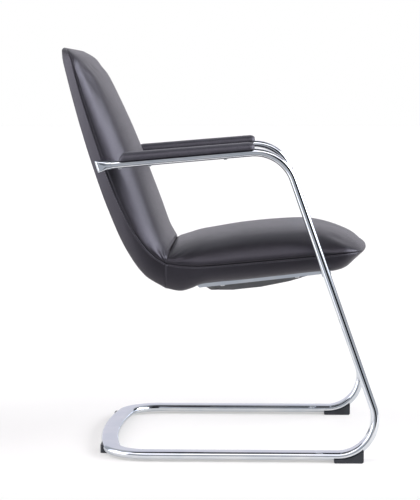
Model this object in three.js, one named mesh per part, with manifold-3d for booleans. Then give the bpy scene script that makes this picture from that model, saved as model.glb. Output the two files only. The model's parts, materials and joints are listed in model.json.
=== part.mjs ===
// Sled base visitor chair with a leather covered seat and back on a chromed flat oval tube frame.
// Millimetres, +X towards the front of the chair, +Z up, floor at Z = 0, middle of the chair at Y = 0.
import * as THREE from 'three';
import { mergeVertices } from 'three/addons/utils/BufferGeometryUtils.js';
import Module from 'manifold-3d';

const wasm = await Module();
wasm.setup();

// Overall reach (X) and rise (Z) that the side profile and the frame follow, and the body's width
const profileReach = 650;
const profileRise = 858;
const bodyWide = 484;

// Clearances shared by all pieces
const fitGap = 0.3;
const cutOverrun = 2;
const weldTolerance = 0.0005;
const speckSize = 0.002;

// Frame: a flat oval tube on each side, wide side level. Its corner points are shares of the
// reach and the rise, and a side stands clear of the body by a named gap.
const tubeWide = 38;
const tubeThick = 16;
const tubeWall = 2;
const bodyToTubeGap = 5;
const footCornerShare = 0.54138;
const handCornerShares = [0.19631, 0.75431];
const armEndShare = -0.34385;
const rearBarShare = -0.38231;
const armSlopeDegrees = 5.08;
const footBendRadius = 77;
const handBendRadius = 84.4;
const rearCornerRadius = 80;
const rearBowRadius = 1200;
const rearSleeveLength = 90;

// Glides: the frame stands on the thickness of plastic under it
const glideThick = 5;
const frontGlideLength = 61;
const frontGlideLead = 7.5;
const frontGlideLip = 2;
const frontGlideWide = 41;
const glideChamfer = 3;
const rearGlideLength = 131;
const rearGlideInset = 69;
const rearGlideBehind = 8.5;
const rearGlideAhead = 13.5;
const rearGlideWrap = 4;

// Arm pads, in the arm's own directions
const padStart = 16;
const padOverhang = 8;
const padWide = 47;
const padThick = 15.5;
const padNoseThick = 13.5;
const padLip = 2.2;
const padLipShare = 0.05;
const padGrooveWide = 33.4;
const padRearLean = 9;
const padNoseLength = 14;
const padBaseWide = 28;
const padBaseThick = 4;
const padBaseInset = 22;

// Castings that join the arms to the back
const castingLengthShare = 0.04846;
const castingCollar = 1;
const castingUp = 11;
const castingDown = 13.2;
const castingTaper = 8;
const backSlopeShare = 0.44115;
const spigotLength = 32;
const tongueThick = 5;
const tongueMargin = 0.5;
const tongueHigh = 18;
const tongueLength = 58;

// Seat support
const crossTubeDiameter = 20;
const crossTubeWall = 2;
const crossTubeShare = 0.45513;
const railThick = 8;
const railWide = 40;
const railInset = 29;
const railLengthShare = 0.41846;
const railRiseShare = 0.035887;
const railBevel = 6;
const railRecess = 1;
const spacerHigh = 6;
const spacerRadius = 7;

// Seat and back body
const backTopNarrowing = 32;
const creaseNarrowing = 28;
const backTopRadius = 58;
const noseCornerRadius = 62;
const noseBow = 14;
const rimWall = 12;
const leatherThick = 2;
const plyThick = 8;
const plyGap = 4;
const foamDepth = 45;
const seamStep = 1.6;

// Bottom cover
const coverSideGap = 8;
const coverWall = 3;
const coverFront = 12;
const coverRearGap = 7;
const coverDrop = 29;
const coverEdge = 9;
const coverBossRadius = 6;
const coverBossInset = 34;
const coverEndShare = 0.11;

// Fasteners
const bolt = { shank: 3, head: 5.5, headHigh: 3.4 };
const screw = { shank: 2, head: 3.8, headHigh: 2.2 };
const nut = { flange: 9, flangeHigh: 1.6, barrel: 4.4, barrelHigh: 6.5 };

// How finely the round forms are divided
const fastenerSides = 8;
const spacerSides = 10;
const crossTubeSides = 20;
const tubeArcSteps = 5;
const rearBowSteps = 5;
const cornerSteps = 7;
const footSteps = 9;
const plySteps = 24;

// Side profile of the back from the top down to the crease. Each row has the outer face,
// the seam and the crown of the cushion, as shares of the reach (X) and the rise (Z).
const backProfileShares = [
  [-0.5165, 1.0030, -0.4980, 0.9965, -0.4920, 0.9990],
  [-0.5090, 0.9740, -0.4800, 0.9750, -0.4375, 0.9760],
  [-0.4975, 0.9410, -0.4670, 0.9425, -0.4084, 0.9415],
  [-0.4747, 0.8740, -0.4410, 0.8740, -0.3609, 0.8735],
  [-0.4430, 0.7880, -0.4045, 0.7880, -0.3088, 0.7880],
  [-0.4065, 0.6995, -0.3650, 0.6995, -0.2623, 0.7000],
  [-0.3638, 0.6085, -0.3175, 0.6115, -0.2180, 0.6120],
  [-0.3075, 0.5116, -0.2640, 0.5370, -0.1838, 0.5395],
  [-0.2467, 0.4455, -0.2175, 0.4950, -0.1685, 0.5200],
  [-0.1790, 0.4124, -0.1785, 0.4757, -0.1627, 0.5118],
];

// Side profile of the seat from the crease to the nose: underside, seam and crown
const seatProfileShares = [
  [-0.1784, 0.4124, -0.1779, 0.4757, -0.1621, 0.5118],
  [-0.1300, 0.4065, -0.1300, 0.4705, -0.1210, 0.5217],
  [-0.0955, 0.4134, -0.0845, 0.4693, -0.0770, 0.5306],
  [-0.0600, 0.4262, -0.0385, 0.4708, -0.0280, 0.5370],
  [0.0615, 0.4360, 0.0615, 0.4778, 0.0690, 0.5494],
  [0.1925, 0.4468, 0.1925, 0.4872, 0.1925, 0.5586],
  [0.3060, 0.4565, 0.2955, 0.4945, 0.2845, 0.5605],
  [0.3640, 0.4580, 0.3660, 0.4998, 0.3660, 0.5525],
  [0.4105, 0.4680, 0.4125, 0.5025, 0.4125, 0.5433],
  [0.4495, 0.4890, 0.4480, 0.5035, 0.4465, 0.5300],
  [0.4790, 0.5028, 0.4808, 0.5047, 0.4803, 0.5067],
];

// Corner of the bent plywood between the back and the seat, and its top end, as shares of the
// reach and the rise. The straight stretches between them follow the castings and the rails.
const plyTopShares = [[-0.4690, 0.9325], [-0.4477, 0.8740], [-0.4114, 0.7880]];
const plyCornerShares = [[-0.3300, 0.6140], [-0.2800, 0.5270], [-0.2290, 0.4660], [-0.1690, 0.4310]];
const plyFrontShare = 0.4;

// Angles and places that follow from the sizes above
const halfSpacing = bodyWide / 2 + bodyToTubeGap + tubeWide / 2;
const runnerHeight = glideThick + tubeThick / 2;
const rearGlideHeight = runnerHeight + rearGlideWrap;
const backTopWide = bodyWide - backTopNarrowing;
const creaseWide = bodyWide - creaseNarrowing;
const footCornerX = footCornerShare * profileReach;
const handCornerX = handCornerShares[0] * profileReach;
const handCornerZ = handCornerShares[1] * profileRise;
const armEndX = armEndShare * profileReach;
const rearBarX = rearBarShare * profileReach;
const armSlope = THREE.MathUtils.degToRad(armSlopeDegrees);
const castingLength = castingLengthShare * profileReach;
const castingLean = Math.atan((backSlopeShare * profileReach) / profileRise) - armSlope;
const leanSlope = Math.tan(castingLean);
const crossTubeZ = crossTubeShare * profileRise;
const railLength = railLengthShare * profileReach;
const railSlope = Math.asin((railRiseShare * profileRise) / railLength);
const railSpacing = bodyWide - railWide - 2 * railInset;
const coverWide = railSpacing - railWide - 2 * coverSideGap;
const coverLength = railLength - coverFront - coverRearGap;
const rearGlideBackX = rearBarX - rearGlideBehind;
const rearGlideFrontX = rearBarX + rearGlideAhead;
const rearGlideOuterY = halfSpacing - rearGlideInset;
const rearGlideInnerY = rearGlideOuterY - rearGlideLength;
const legLean = Math.atan2(footCornerX - handCornerX, handCornerZ - runnerHeight);
const legLength = Math.hypot(footCornerX - handCornerX, handCornerZ - runnerHeight);
const footTurn = Math.PI / 2 + legLean;
const handTurn = Math.PI / 2 - legLean + armSlope;
const footTangent = footBendRadius * Math.tan(footTurn / 2);
const handTangent = handBendRadius * Math.tan(handTurn / 2);
const armLength = (handCornerX - armEndX) / Math.cos(armSlope) - handTangent;
const armEndZ = handCornerZ - (handCornerX - armEndX) * Math.tan(armSlope);
const padLength = armLength + padOverhang - padStart;
const footBendX = footCornerX - footTangent;
const frontGlideStartX = footBendX - frontGlideLead;
const crossTubeX = footCornerX - (crossTubeZ - runnerHeight) * Math.tan(legLean);

const xAxis = new THREE.Vector3(1, 0, 0);
const yAxis = new THREE.Vector3(0, 1, 0);
const zAxis = new THREE.Vector3(0, 0, 1);

const leather = { color: 0x47444b, roughness: 0.5, metalness: 0 };
const chrome = { color: 0xd5d9de, roughness: 0.12, metalness: 1 };
const steel = { color: 0x9a9ca0, roughness: 0.35, metalness: 1 };
const blackPlastic = { color: 0x23252a, roughness: 0.55, metalness: 0 };
const plywood = { color: 0xc39a6a, roughness: 0.7, metalness: 0 };
const foam = { color: 0xe6dfc8, roughness: 0.9, metalness: 0 };

// A path walked in straight runs and round bends. Its rings fall only where the tube bends,
// and side is the direction of the tube's wide face, which turns with the path.
class Route extends THREE.Curve {
  constructor(start, heading, side) {
    super();
    this.place = start.clone();
    this.heading = heading.clone().normalize();
    this.side = side.clone().normalize();
    this.stations = [];
    this.mark();
  }

  mark() {
    this.stations.push({ point: this.place.clone(), tangent: this.heading.clone(), side: this.side.clone() });
  }

  forward(length) {
    this.place.addScaledVector(this.heading, length);
    this.mark();
    return this;
  }

  bend(radius, angle, axis, steps) {
    const centre = axis.clone().cross(this.heading).multiplyScalar(radius).add(this.place);
    for (let k = 0; k < steps; k += 1) {
      this.place.sub(centre).applyAxisAngle(axis, angle / steps).add(centre);
      this.heading.applyAxisAngle(axis, angle / steps);
      this.side.applyAxisAngle(axis, angle / steps);
      this.mark();
    }
    return this;
  }

  get runs() {
    return this.stations.length - 1;
  }

  getPointAt(u) {
    return this.stations[Math.round(u * this.runs)].point.clone();
  }

  getTangentAt(u) {
    return this.stations[Math.round(u * this.runs)].tangent.clone();
  }

  computeFrenetFrames() {
    return {
      tangents: this.stations.map((s) => s.tangent.clone()),
      normals: this.stations.map((s) => s.side.clone().cross(s.tangent)),
      binormals: this.stations.map((s) => s.side.clone()),
    };
  }
}

// Closed mesh from points and triangles, turned so that its faces point out
function closedGeometry(points, triangles) {
  const geometry = new THREE.BufferGeometry();
  const values = points.flatMap((p) => [p.x, p.y, p.z]);
  geometry.setAttribute('position', new THREE.Float32BufferAttribute(values, 3));
  geometry.setIndex(triangles.flat());
  return facingOut(geometry);
}

// The same closed mesh with its faces pointing out
function facingOut(geometry) {
  const bare = geometry.clone();
  bare.deleteAttribute('normal');
  bare.deleteAttribute('uv');
  const merged = mergeVertices(bare, weldTolerance);
  const index = Array.from(merged.index.array);
  const [a, b, c] = [new THREE.Vector3(), new THREE.Vector3(), new THREE.Vector3()];
  let volume = 0;
  for (let k = 0; k < index.length; k += 3) {
    a.fromBufferAttribute(merged.attributes.position, index[k]);
    b.fromBufferAttribute(merged.attributes.position, index[k + 1]);
    c.fromBufferAttribute(merged.attributes.position, index[k + 2]);
    volume += a.dot(b.cross(c));
  }
  if (volume < 0) merged.setIndex(flipped(index));
  return merged;
}

// Triangles wound the other way
function flipped(index) {
  const copy = [...index];
  for (let k = 0; k < copy.length; k += 3) {
    [copy[k + 1], copy[k + 2]] = [copy[k + 2], copy[k + 1]];
  }
  return copy;
}

// Solid between two sheets of points that share one grid
function slab(topAt, bottomAt, along, across) {
  const points = [];
  const rows = along.length;
  const columns = across.length;
  for (const sheet of [topAt, bottomAt]) {
    for (const u of along) {
      for (const v of across) points.push(sheet(u, v));
    }
  }
  const top = (i, j) => i * columns + j;
  const low = (i, j) => rows * columns + i * columns + j;
  const triangles = [];
  const quad = (a, b, c, d) => triangles.push([a, b, c], [a, c, d]);
  for (let i = 0; i < rows - 1; i += 1) {
    for (let j = 0; j < columns - 1; j += 1) {
      quad(top(i, j), top(i + 1, j), top(i + 1, j + 1), top(i, j + 1));
      quad(low(i, j), low(i, j + 1), low(i + 1, j + 1), low(i + 1, j));
    }
    quad(top(i, 0), low(i, 0), low(i + 1, 0), top(i + 1, 0));
    quad(top(i, columns - 1), top(i + 1, columns - 1), low(i + 1, columns - 1), low(i, columns - 1));
  }
  for (let j = 0; j < columns - 1; j += 1) {
    quad(top(0, j), top(0, j + 1), low(0, j + 1), low(0, j));
    quad(top(rows - 1, j), low(rows - 1, j), low(rows - 1, j + 1), top(rows - 1, j + 1));
  }
  return closedGeometry(points, triangles);
}

// Solid through a row of rings that all have the same number of points
function loft(rings) {
  const points = rings.flat();
  const count = rings[0].length;
  const triangles = [];
  for (let i = 0; i < rings.length - 1; i += 1) {
    for (let j = 0; j < count; j += 1) {
      const next = (j + 1) % count;
      const here = i * count;
      triangles.push([here + j, here + next, here + count + next]);
      triangles.push([here + j, here + count + next, here + count + j]);
    }
  }
  const last = (rings.length - 1) * count;
  for (let j = 1; j < count - 1; j += 1) {
    triangles.push([0, j + 1, j], [last, last + j, last + j + 1]);
  }
  return closedGeometry(points, triangles);
}

function toSolid(geometry) {
  const bare = geometry.clone();
  bare.deleteAttribute('normal');
  bare.deleteAttribute('uv');
  const merged = mergeVertices(bare, weldTolerance);
  return new wasm.Manifold(new wasm.Mesh({
    numProp: 3,
    vertProperties: new Float32Array(merged.attributes.position.array),
    triVerts: new Uint32Array(merged.index.array),
  }));
}

function toGeometry(solid) {
  const mesh = solid.simplify(speckSize).getMesh();
  const geometry = new THREE.BufferGeometry();
  geometry.setAttribute('position', new THREE.Float32BufferAttribute(Array.from(mesh.vertProperties), 3));
  geometry.setIndex(Array.from(mesh.triVerts));
  return geometry;
}

const joined = (...pieces) => toGeometry(pieces.map(toSolid).reduce((a, b) => a.add(b)));
const common = (a, b) => toGeometry(toSolid(a).intersect(toSolid(b)));
const cut = (piece, ...tools) => (
  toGeometry(tools.map(toSolid).reduce((a, b) => a.subtract(b), toSolid(piece)))
);

// The same piece on the other side of the chair
function mirrored(geometry) {
  return facingOut(geometry.clone().scale(1, -1, 1));
}

function blockBetween(low, high) {
  const size = new THREE.Vector3().subVectors(high, low);
  const middle = new THREE.Vector3().addVectors(low, high).multiplyScalar(0.5);
  return new THREE.BoxGeometry(size.x, size.y, size.z).translate(middle.x, middle.y, middle.z);
}

// Round rod from a start point along a direction
function rod(radius, length, start, direction, sides = fastenerSides) {
  const turn = new THREE.Quaternion().setFromUnitVectors(yAxis, direction.clone().normalize());
  return new THREE.CylinderGeometry(radius, radius, length, sides)
    .translate(0, length / 2, 0)
    .applyQuaternion(turn)
    .translate(start.x, start.y, start.z);
}

// Bolt or screw: seat is the point under the head, direction points from the head to the tip
function fastener(kind, length, seat, direction) {
  const profile = [
    new THREE.Vector2(0, -kind.headHigh),
    new THREE.Vector2(kind.head * 0.8, -kind.headHigh),
    new THREE.Vector2(kind.head, 0),
    new THREE.Vector2(kind.shank, 0),
    new THREE.Vector2(kind.shank, length),
    new THREE.Vector2(0, length),
  ];
  const turn = new THREE.Quaternion().setFromUnitVectors(yAxis, direction.clone().normalize());
  const turned = new THREE.LatheGeometry(profile, fastenerSides);
  return turned.applyQuaternion(turn).translate(seat.x, seat.y, seat.z);
}

// Hole that clears a fastener's shank and, where depth is given, its head
function fastenerHole(kind, length, seat, direction, headRoom) {
  const way = direction.clone().normalize();
  const shankStart = seat.clone().addScaledVector(way, -cutOverrun);
  const hole = rod(kind.shank + fitGap, length + cutOverrun + fitGap, shankStart, way);
  const headStart = seat.clone().addScaledVector(way, -headRoom);
  return joined(hole, rod(kind.head + fitGap, headRoom, headStart, way));
}

function flatOval(wide, thick) {
  const radius = thick / 2;
  const offset = wide / 2 - radius;
  const points = [];
  for (const side of [1, -1]) {
    for (let k = 0; k <= tubeArcSteps; k += 1) {
      const angle = (k / tubeArcSteps) * Math.PI + (side < 0 ? Math.PI : 0);
      points.push(new THREE.Vector2(radius * Math.cos(angle), side * offset + radius * Math.sin(angle)));
    }
  }
  return points;
}

function swept(outline, hole, route) {
  const shape = new THREE.Shape(outline);
  if (hole) shape.holes.push(new THREE.Path(hole));
  const settings = { steps: route.runs, bevelEnabled: false, extrudePath: route };
  const tube = new THREE.ExtrudeGeometry(shape, settings);
  return facingOut(tube);
}

const tubeOutline = flatOval(tubeWide, tubeThick);
const tubeBore = flatOval(tubeWide - 2 * tubeWall, tubeThick - 2 * tubeWall);
const tubeClearance = flatOval(tubeWide + 2 * fitGap, tubeThick + 2 * fitGap);
const boreFiller = flatOval(tubeWide - 2 * (tubeWall + fitGap), tubeThick - 2 * (tubeWall + fitGap));

// Route of the right half of the frame, from the middle of the rear bar to the end of the arm
const bowAngle = Math.asin((halfSpacing - rearCornerRadius) / (rearBowRadius - rearCornerRadius));

function rearRoute() {
  return new Route(new THREE.Vector3(rearBarX, 0, runnerHeight), new THREE.Vector3(0, -1, 0), xAxis)
    .bend(rearBowRadius, bowAngle, zAxis, rearBowSteps)
    .bend(rearCornerRadius, Math.PI / 2 - bowAngle, zAxis, cornerSteps);
}

function frameRoute() {
  const route = rearRoute();
  const upward = new THREE.Vector3(0, -1, 0);
  return route
    .forward(footBendX - route.place.x)
    .bend(footBendRadius, footTurn, upward, footSteps)
    .forward(legLength - footTangent - handTangent)
    .bend(handBendRadius, handTurn, upward, cornerSteps)
    .forward(armLength);
}

// The arm's own directions: from its rear end forward, and square to it
const armEnd = new THREE.Vector3(armEndX, -halfSpacing, armEndZ);
const armTurn = new THREE.Matrix4().makeRotationY(-armSlope).setPosition(armEnd);
const onArm = (x, y, z) => new THREE.Vector3(x, y, z).applyMatrix4(armTurn);
const armUp = new THREE.Vector3(0, 0, 1).transformDirection(armTurn);

// Screws that come up through the arm tube: one into the spigot, the others into the pad base
const spigotScrewX = spigotLength / 2;
const spigotScrewLength = tubeThick / 2;
const padScrewXs = [padStart + padLength * 0.22, padStart + padLength * 0.78];
const padScrewLength = tubeThick + padBaseThick * 0.75;
const armScrews = [spigotScrewX, ...padScrewXs].map((x, k) => ({
  seat: onArm(x, 0, -tubeThick / 2 - fitGap),
  length: k === 0 ? spigotScrewLength : padScrewLength,
}));

// Screws that hold the glides to the frame
const glideScrewDepth = 3.2;
const rearGlideMiddleY = (rearGlideInnerY + rearGlideOuterY) / 2;
const glideScrews = [
  new THREE.Vector3(frontGlideStartX + frontGlideLength * 0.3, -halfSpacing, glideScrewDepth),
  new THREE.Vector3((rearGlideBackX + rearGlideFrontX) / 2, -rearGlideMiddleY, glideScrewDepth),
].map((seat) => ({ seat, length: tubeWall + screw.headHigh + cutOverrun }));

function frameHalf() {
  const tube = swept(tubeOutline, tubeBore, frameRoute());
  const holes = armScrews.map((s) => rod(screw.shank + fitGap, s.length + cutOverrun, s.seat, armUp));
  const glideHoles = glideScrews.map((s) => rod(screw.shank + fitGap, s.length + cutOverrun, s.seat, zAxis));
  return cut(tube, ...holes, ...glideHoles);
}

// Sleeve inside the tube where the two halves meet at the rear
function rearSleeve() {
  const angle = rearSleeveLength / 2 / rearBowRadius;
  const start = new THREE.Vector3(rearBarX, 0, runnerHeight);
  const side = new Route(start, new THREE.Vector3(0, -1, 0), xAxis).bend(rearBowRadius, angle, zAxis, 1);
  const back = new Route(side.place, side.heading.negate(), side.side)
    .bend(-rearBowRadius, -2 * angle, zAxis, 2);
  const inner = flatOval(tubeWide - 4 * tubeWall - 2 * fitGap, tubeThick - 4 * tubeWall - 2 * fitGap);
  return swept(boreFiller, inner, back);
}

// Front glide: a wedge that follows the underside of the foot bend and wraps its edges
function frontGlide() {
  const endX = frontGlideStartX + frontGlideLength;
  const centreZ = runnerHeight + footBendRadius;
  const reach = footBendRadius + tubeThick / 2 - frontGlideLip;
  const topAt = (x) => centreZ - Math.sqrt(reach ** 2 - Math.max(x - footBendX, 0) ** 2);
  const outline = new THREE.Shape();
  outline.moveTo(frontGlideStartX + glideChamfer / 2, 0);
  outline.lineTo(endX - glideChamfer, 0);
  outline.lineTo(endX, glideChamfer);
  for (let k = 0; k <= cornerSteps; k += 1) {
    const x = endX - (k / cornerSteps) * frontGlideLength;
    outline.lineTo(x, topAt(x));
  }
  outline.lineTo(frontGlideStartX, glideChamfer / 2);
  const block = new THREE.ExtrudeGeometry(outline, { depth: frontGlideWide, bevelEnabled: false })
    .rotateX(Math.PI / 2)
    .translate(0, -halfSpacing + frontGlideWide / 2, 0);
  const grooveStart = new THREE.Vector3(frontGlideStartX - cutOverrun, -halfSpacing, runnerHeight);
  const groove = new Route(grooveStart, xAxis, yAxis)
    .forward(footBendX - frontGlideStartX + cutOverrun)
    .bend(footBendRadius, footTurn, new THREE.Vector3(0, -1, 0), footSteps);
  const [{ length, seat }] = glideScrews;
  const hole = fastenerHole(screw, length, seat, zAxis, glideScrewDepth + cutOverrun);
  return cut(block, swept(tubeClearance, null, groove), hole);
}

// Rear glide: a straight block under the bowed rear bar
function rearGlide() {
  const outline = new THREE.Shape();
  const inner = -rearGlideInnerY;
  const outer = -rearGlideOuterY;
  outline.moveTo(rearGlideBackX, inner - glideChamfer);
  outline.lineTo(rearGlideBackX, outer + glideChamfer);
  outline.lineTo(rearGlideBackX + glideChamfer, outer);
  outline.lineTo(rearGlideFrontX - glideChamfer, outer);
  outline.lineTo(rearGlideFrontX, outer + glideChamfer);
  outline.lineTo(rearGlideFrontX - glideChamfer, inner);
  outline.lineTo(rearGlideBackX + glideChamfer, inner);
  const block = new THREE.ExtrudeGeometry(outline, { depth: rearGlideHeight, bevelEnabled: false });
  const above = blockBetween(
    new THREE.Vector3(rearBarX, outer - cutOverrun, runnerHeight),
    new THREE.Vector3(rearGlideFrontX - glideChamfer, inner + cutOverrun, rearGlideHeight + cutOverrun),
  );
  const [, { length, seat }] = glideScrews;
  const hole = fastenerHole(screw, length, seat, zAxis, glideScrewDepth + cutOverrun);
  return cut(block, swept(tubeClearance, null, rearRoute()), above, hole);
}

// Arm pad: a soft bar with a rounded nose, a leaning rear end and a groove that sits over the tube.
// Each ring has its place along the pad and how far it is pinched in, as a share of its size.
function padRing(x, pinch) {
  const half = (padWide / 2) * (1 - pinch);
  const thick = THREE.MathUtils.lerp(padThick, padNoseThick, (x - padStart) / padLength);
  const top = thick * (1 - pinch * 0.6);
  const groove = (padGrooveWide / 2) * (1 - pinch);
  const lip = pinch > padLipShare ? -fitGap / 2 : padLip;
  const side = [[1, -lip], [1, top * 0.45], [0.94, top * 0.75], [0.78, top * 0.93], [0.45, top]];
  const right = side.map(([share, z]) => [half * share, z]);
  const left = right.map(([y, z]) => [-y, z]).reverse();
  const under = [[-groove, -lip], [-groove, fitGap], [groove, fitGap], [groove, -lip]];
  const ring = [...right, [0, top + padLip * 0.2], ...left, ...under];
  return ring.map(([y, z]) => onArm(x - (padRearLean * z * pinch) / padThick, y, tubeThick / 2 + z));
}

function armPad() {
  const end = padStart + padLength;
  const stations = [
    [padStart, 0.16],
    [padStart + padRearLean * 0.3, 0.07],
    [padStart + padRearLean, 0.02],
    [padStart + padLength * 0.3, 0],
    [padStart + padLength * 0.65, 0],
    [end - padNoseLength, 0],
    [end - padNoseLength * 0.5, 0.06],
    [end - padNoseLength * 0.15, 0.2],
    [end, 0.42],
  ];
  const body = loft(stations.map((s) => padRing(...s)));
  const [low, high] = padBaseCorners(fitGap);
  const pocket = blockBetween(low, high).applyMatrix4(armTurn);
  const holes = armScrews.slice(1).map((s) => rod(screw.shank + fitGap, s.length + fitGap, s.seat, armUp));
  return cut(body, pocket, ...holes);
}

function padBaseCorners(grow) {
  const start = padStart + padBaseInset;
  const end = padStart + padLength - padBaseInset;
  const bottom = tubeThick / 2 + fitGap;
  const low = new THREE.Vector3(start - grow, -padBaseWide / 2 - grow, bottom - grow);
  const high = new THREE.Vector3(end + grow, padBaseWide / 2 + grow, bottom + padBaseThick + grow);
  return [low, high];
}

function padBase() {
  const plate = blockBetween(...padBaseCorners(0)).applyMatrix4(armTurn);
  const holes = armScrews.slice(1).map((s) => rod(screw.shank + fitGap, s.length + fitGap, s.seat, armUp));
  return cut(plate, ...holes);
}

// Casting: collar at the tube, flared body that turns inward to the back, and a tongue inside the back
function roundedRing(x, yLow, yHigh, zLow, zHigh, radius, lean) {
  const corners = [[yHigh, zHigh, 0], [yLow, zHigh, 1], [yLow, zLow, 2], [yHigh, zLow, 3]];
  return corners.flatMap(([y, z, quarter]) => [0, 0.5, 1].map((share) => {
    const angle = ((quarter + share) * Math.PI) / 2;
    const centreY = y - Math.sign(y - (yLow + yHigh) / 2) * radius;
    const centreZ = z - Math.sign(z - (zLow + zHigh) / 2) * radius;
    const height = centreZ + radius * Math.sin(angle);
    return onArm(x - lean * height, centreY + radius * Math.cos(angle), height);
  }));
}

const bodySideY = halfSpacing - bodyWide / 2 - fitGap;
const tongueX = -castingLength + tongueThick / 2 + tongueMargin;
const tongueStack = tongueThick * Math.cos(castingLean);

// Each row: place along the casting, growth downwards, upwards and towards the back, taper of the
// outer side, corner radius as a share of the collar's half height, and share of the lean
const castingRingShares = [
  [0, 0, 0, 0, 0, 0.85, 0],
  [0.2, 0, 0, 0, 0, 0.85, 0.15],
  [0.32, 0.19, 0.15, 0.54, 0, 0.7, 0.3],
  [0.5, 0.48, 0.45, 1, -0.05, 0.5, 0.5],
  [0.72, 0.79, 0.8, 1, 0, 0.34, 0.8],
  [0.9, 0.95, 0.9, 1, 0.25, 0.3, 1],
  [1, 1, 1, 1, 1, 0.3, 1],
];

function castingBody() {
  const half = tubeWide / 2 + castingCollar;
  const collar = tubeThick / 2 + castingCollar;
  return loft(castingRingShares.map(([along, down, up, inward, taper, round, lean]) => roundedRing(
    -Math.max(castingLength * along, fitGap),
    -half + castingTaper * taper,
    THREE.MathUtils.lerp(half, bodySideY, inward),
    -THREE.MathUtils.lerp(collar, castingDown, down),
    THREE.MathUtils.lerp(collar, castingUp, up),
    collar * round,
    leanSlope * lean,
  )));
}

function tongueBlock(grow) {
  const ring = (y) => [[-1, -1], [1, -1], [1, 1], [-1, 1]].map(([a, b]) => {
    const z = b * (tongueHigh / 2 + grow);
    return onArm(tongueX + a * (tongueThick / 2 + grow) - leanSlope * z, y, z);
  });
  return loft([ring(bodySideY - cutOverrun), ring(bodySideY + tongueLength + grow)]);
}

const tongueWay = new THREE.Vector3(1, 0, leanSlope).normalize().transformDirection(armTurn);
const tongueUp = new THREE.Vector3(-leanSlope, 0, 1).normalize().transformDirection(armTurn);
const backBoltShares = [0.5, 0.84];
const tongueFace = tongueStack / 2 + fitGap;
const backBolts = backBoltShares.map((share) => ({
  seat: onArm(tongueX, bodySideY + tongueLength * share, 0).addScaledVector(tongueWay, -tongueFace),
  way: tongueWay,
  grip: tongueStack + plyThick + 2 * fitGap,
}));

function armCasting() {
  const spigotRoute = new Route(onArm(-cutOverrun, 0, 0), xAxis.clone().transformDirection(armTurn), yAxis)
    .forward(spigotLength + cutOverrun);
  const spigot = swept(boreFiller, null, spigotRoute);
  const body = joined(castingBody(), spigot, tongueBlock(0));
  const screwHole = rod(screw.shank + fitGap, spigotScrewLength + fitGap, armScrews[0].seat, armUp);
  const boltHoles = backBolts.map((b) => rod(bolt.shank + fitGap, b.grip, b.seat, b.way));
  return cut(body, screwHole, ...boltHoles);
}

// Side profile curves of the seat and back
const sharePoint = ([x, z]) => new THREE.Vector3(x * profileReach, 0, z * profileRise);

function profileCurve(rows, column) {
  const points = rows.map((row) => sharePoint([row[column], row[column + 1]]));
  return new THREE.CatmullRomCurve3(points, false, 'centripetal');
}

// The seat's own directions: along the rails towards the front, and square to them
const seatTurn = new THREE.Matrix4().makeRotationY(-railSlope).setPosition(crossTubeX, 0, crossTubeZ);
const onSeat = (x, y, z) => new THREE.Vector3(x, y, z).applyMatrix4(seatTurn);
const railUp = new THREE.Vector3(0, 0, 1).transformDirection(seatTurn);
const undersideZ = railThick / 2 - railRecess;

const backCurves = [0, 2, 4].map((column) => profileCurve(backProfileShares, column));
const seatCurves = [0, 2, 4].map((column) => profileCurve(seatProfileShares, column));

// Rows of the seat's underside that lie on the rails: row number, and place as a share of the rail
const flatUndersideShares = [[3, 0.955], [4, 0.66], [5, 0.345], [6, 0.07]];
flatUndersideShares.forEach(([row, share]) => {
  seatCurves[0].points[row].copy(onSeat(-railLength * share, 0, undersideZ));
});

// Middle line of the plywood: top, against the tongues, round the corner, over the rails
const plyFace = plyThick / 2;
const plyAtTongue = onArm(tongueX, halfSpacing, 0).addScaledVector(tongueWay, tongueFace + plyFace);
const railBoltShares = [0.22, 0.8];
const plyOverRail = (x) => onSeat(x, 0, railThick / 2 + 2 * fitGap + spacerHigh + plyFace);
const plyPath = new THREE.CatmullRomCurve3([
  ...plyTopShares.map(sharePoint),
  plyAtTongue.clone().addScaledVector(tongueUp, tongueHigh),
  plyAtTongue.clone().addScaledVector(tongueUp, -tongueHigh),
  ...plyCornerShares.map(sharePoint),
  plyOverRail(-railLength),
  plyOverRail(-railLength * railBoltShares[1]),
  plyOverRail(0),
  plyOverRail(plyFrontShare * profileReach - crossTubeX),
], false, 'centripetal');

// Half width of the rounded end of a panel, at a distance from that end
function roundedHalf(half, radius, distance) {
  if (distance >= radius) return half;
  return half - radius + Math.sqrt(radius ** 2 - (radius - Math.max(distance, 0)) ** 2);
}

function backHalf(u) {
  const down = backCurves[0].getPoint(0).z - backCurves[0].getPoint(u).z;
  const swell = Math.sin(Math.PI * THREE.MathUtils.clamp(u, 0, 1));
  const straight = THREE.MathUtils.lerp(backTopWide, creaseWide, u) / 2;
  const widest = straight + (bodyWide / 2 - straight) * swell;
  return roundedHalf(widest, backTopRadius, down);
}

function seatHalf(u) {
  const ahead = seatCurves[1].getPoint(1).x - seatCurves[1].getPoint(u).x;
  const blend = THREE.MathUtils.smoothstep(u, 0, 0.5);
  const widest = THREE.MathUtils.lerp(creaseWide, bodyWide, blend) / 2;
  return roundedHalf(widest, noseCornerRadius, ahead);
}

const noBow = () => 0;
const seatBow = (u, v) => noseBow * THREE.MathUtils.smoothstep(u, 0.55, 1) * v ** 2;

// Superellipse rise: 1 in the middle, 0 at the edges
const rise = (v, wideShare, highShare) => Math.max(1 - Math.abs(v) ** wideShare, 0) ** (1 / highShare);

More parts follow.
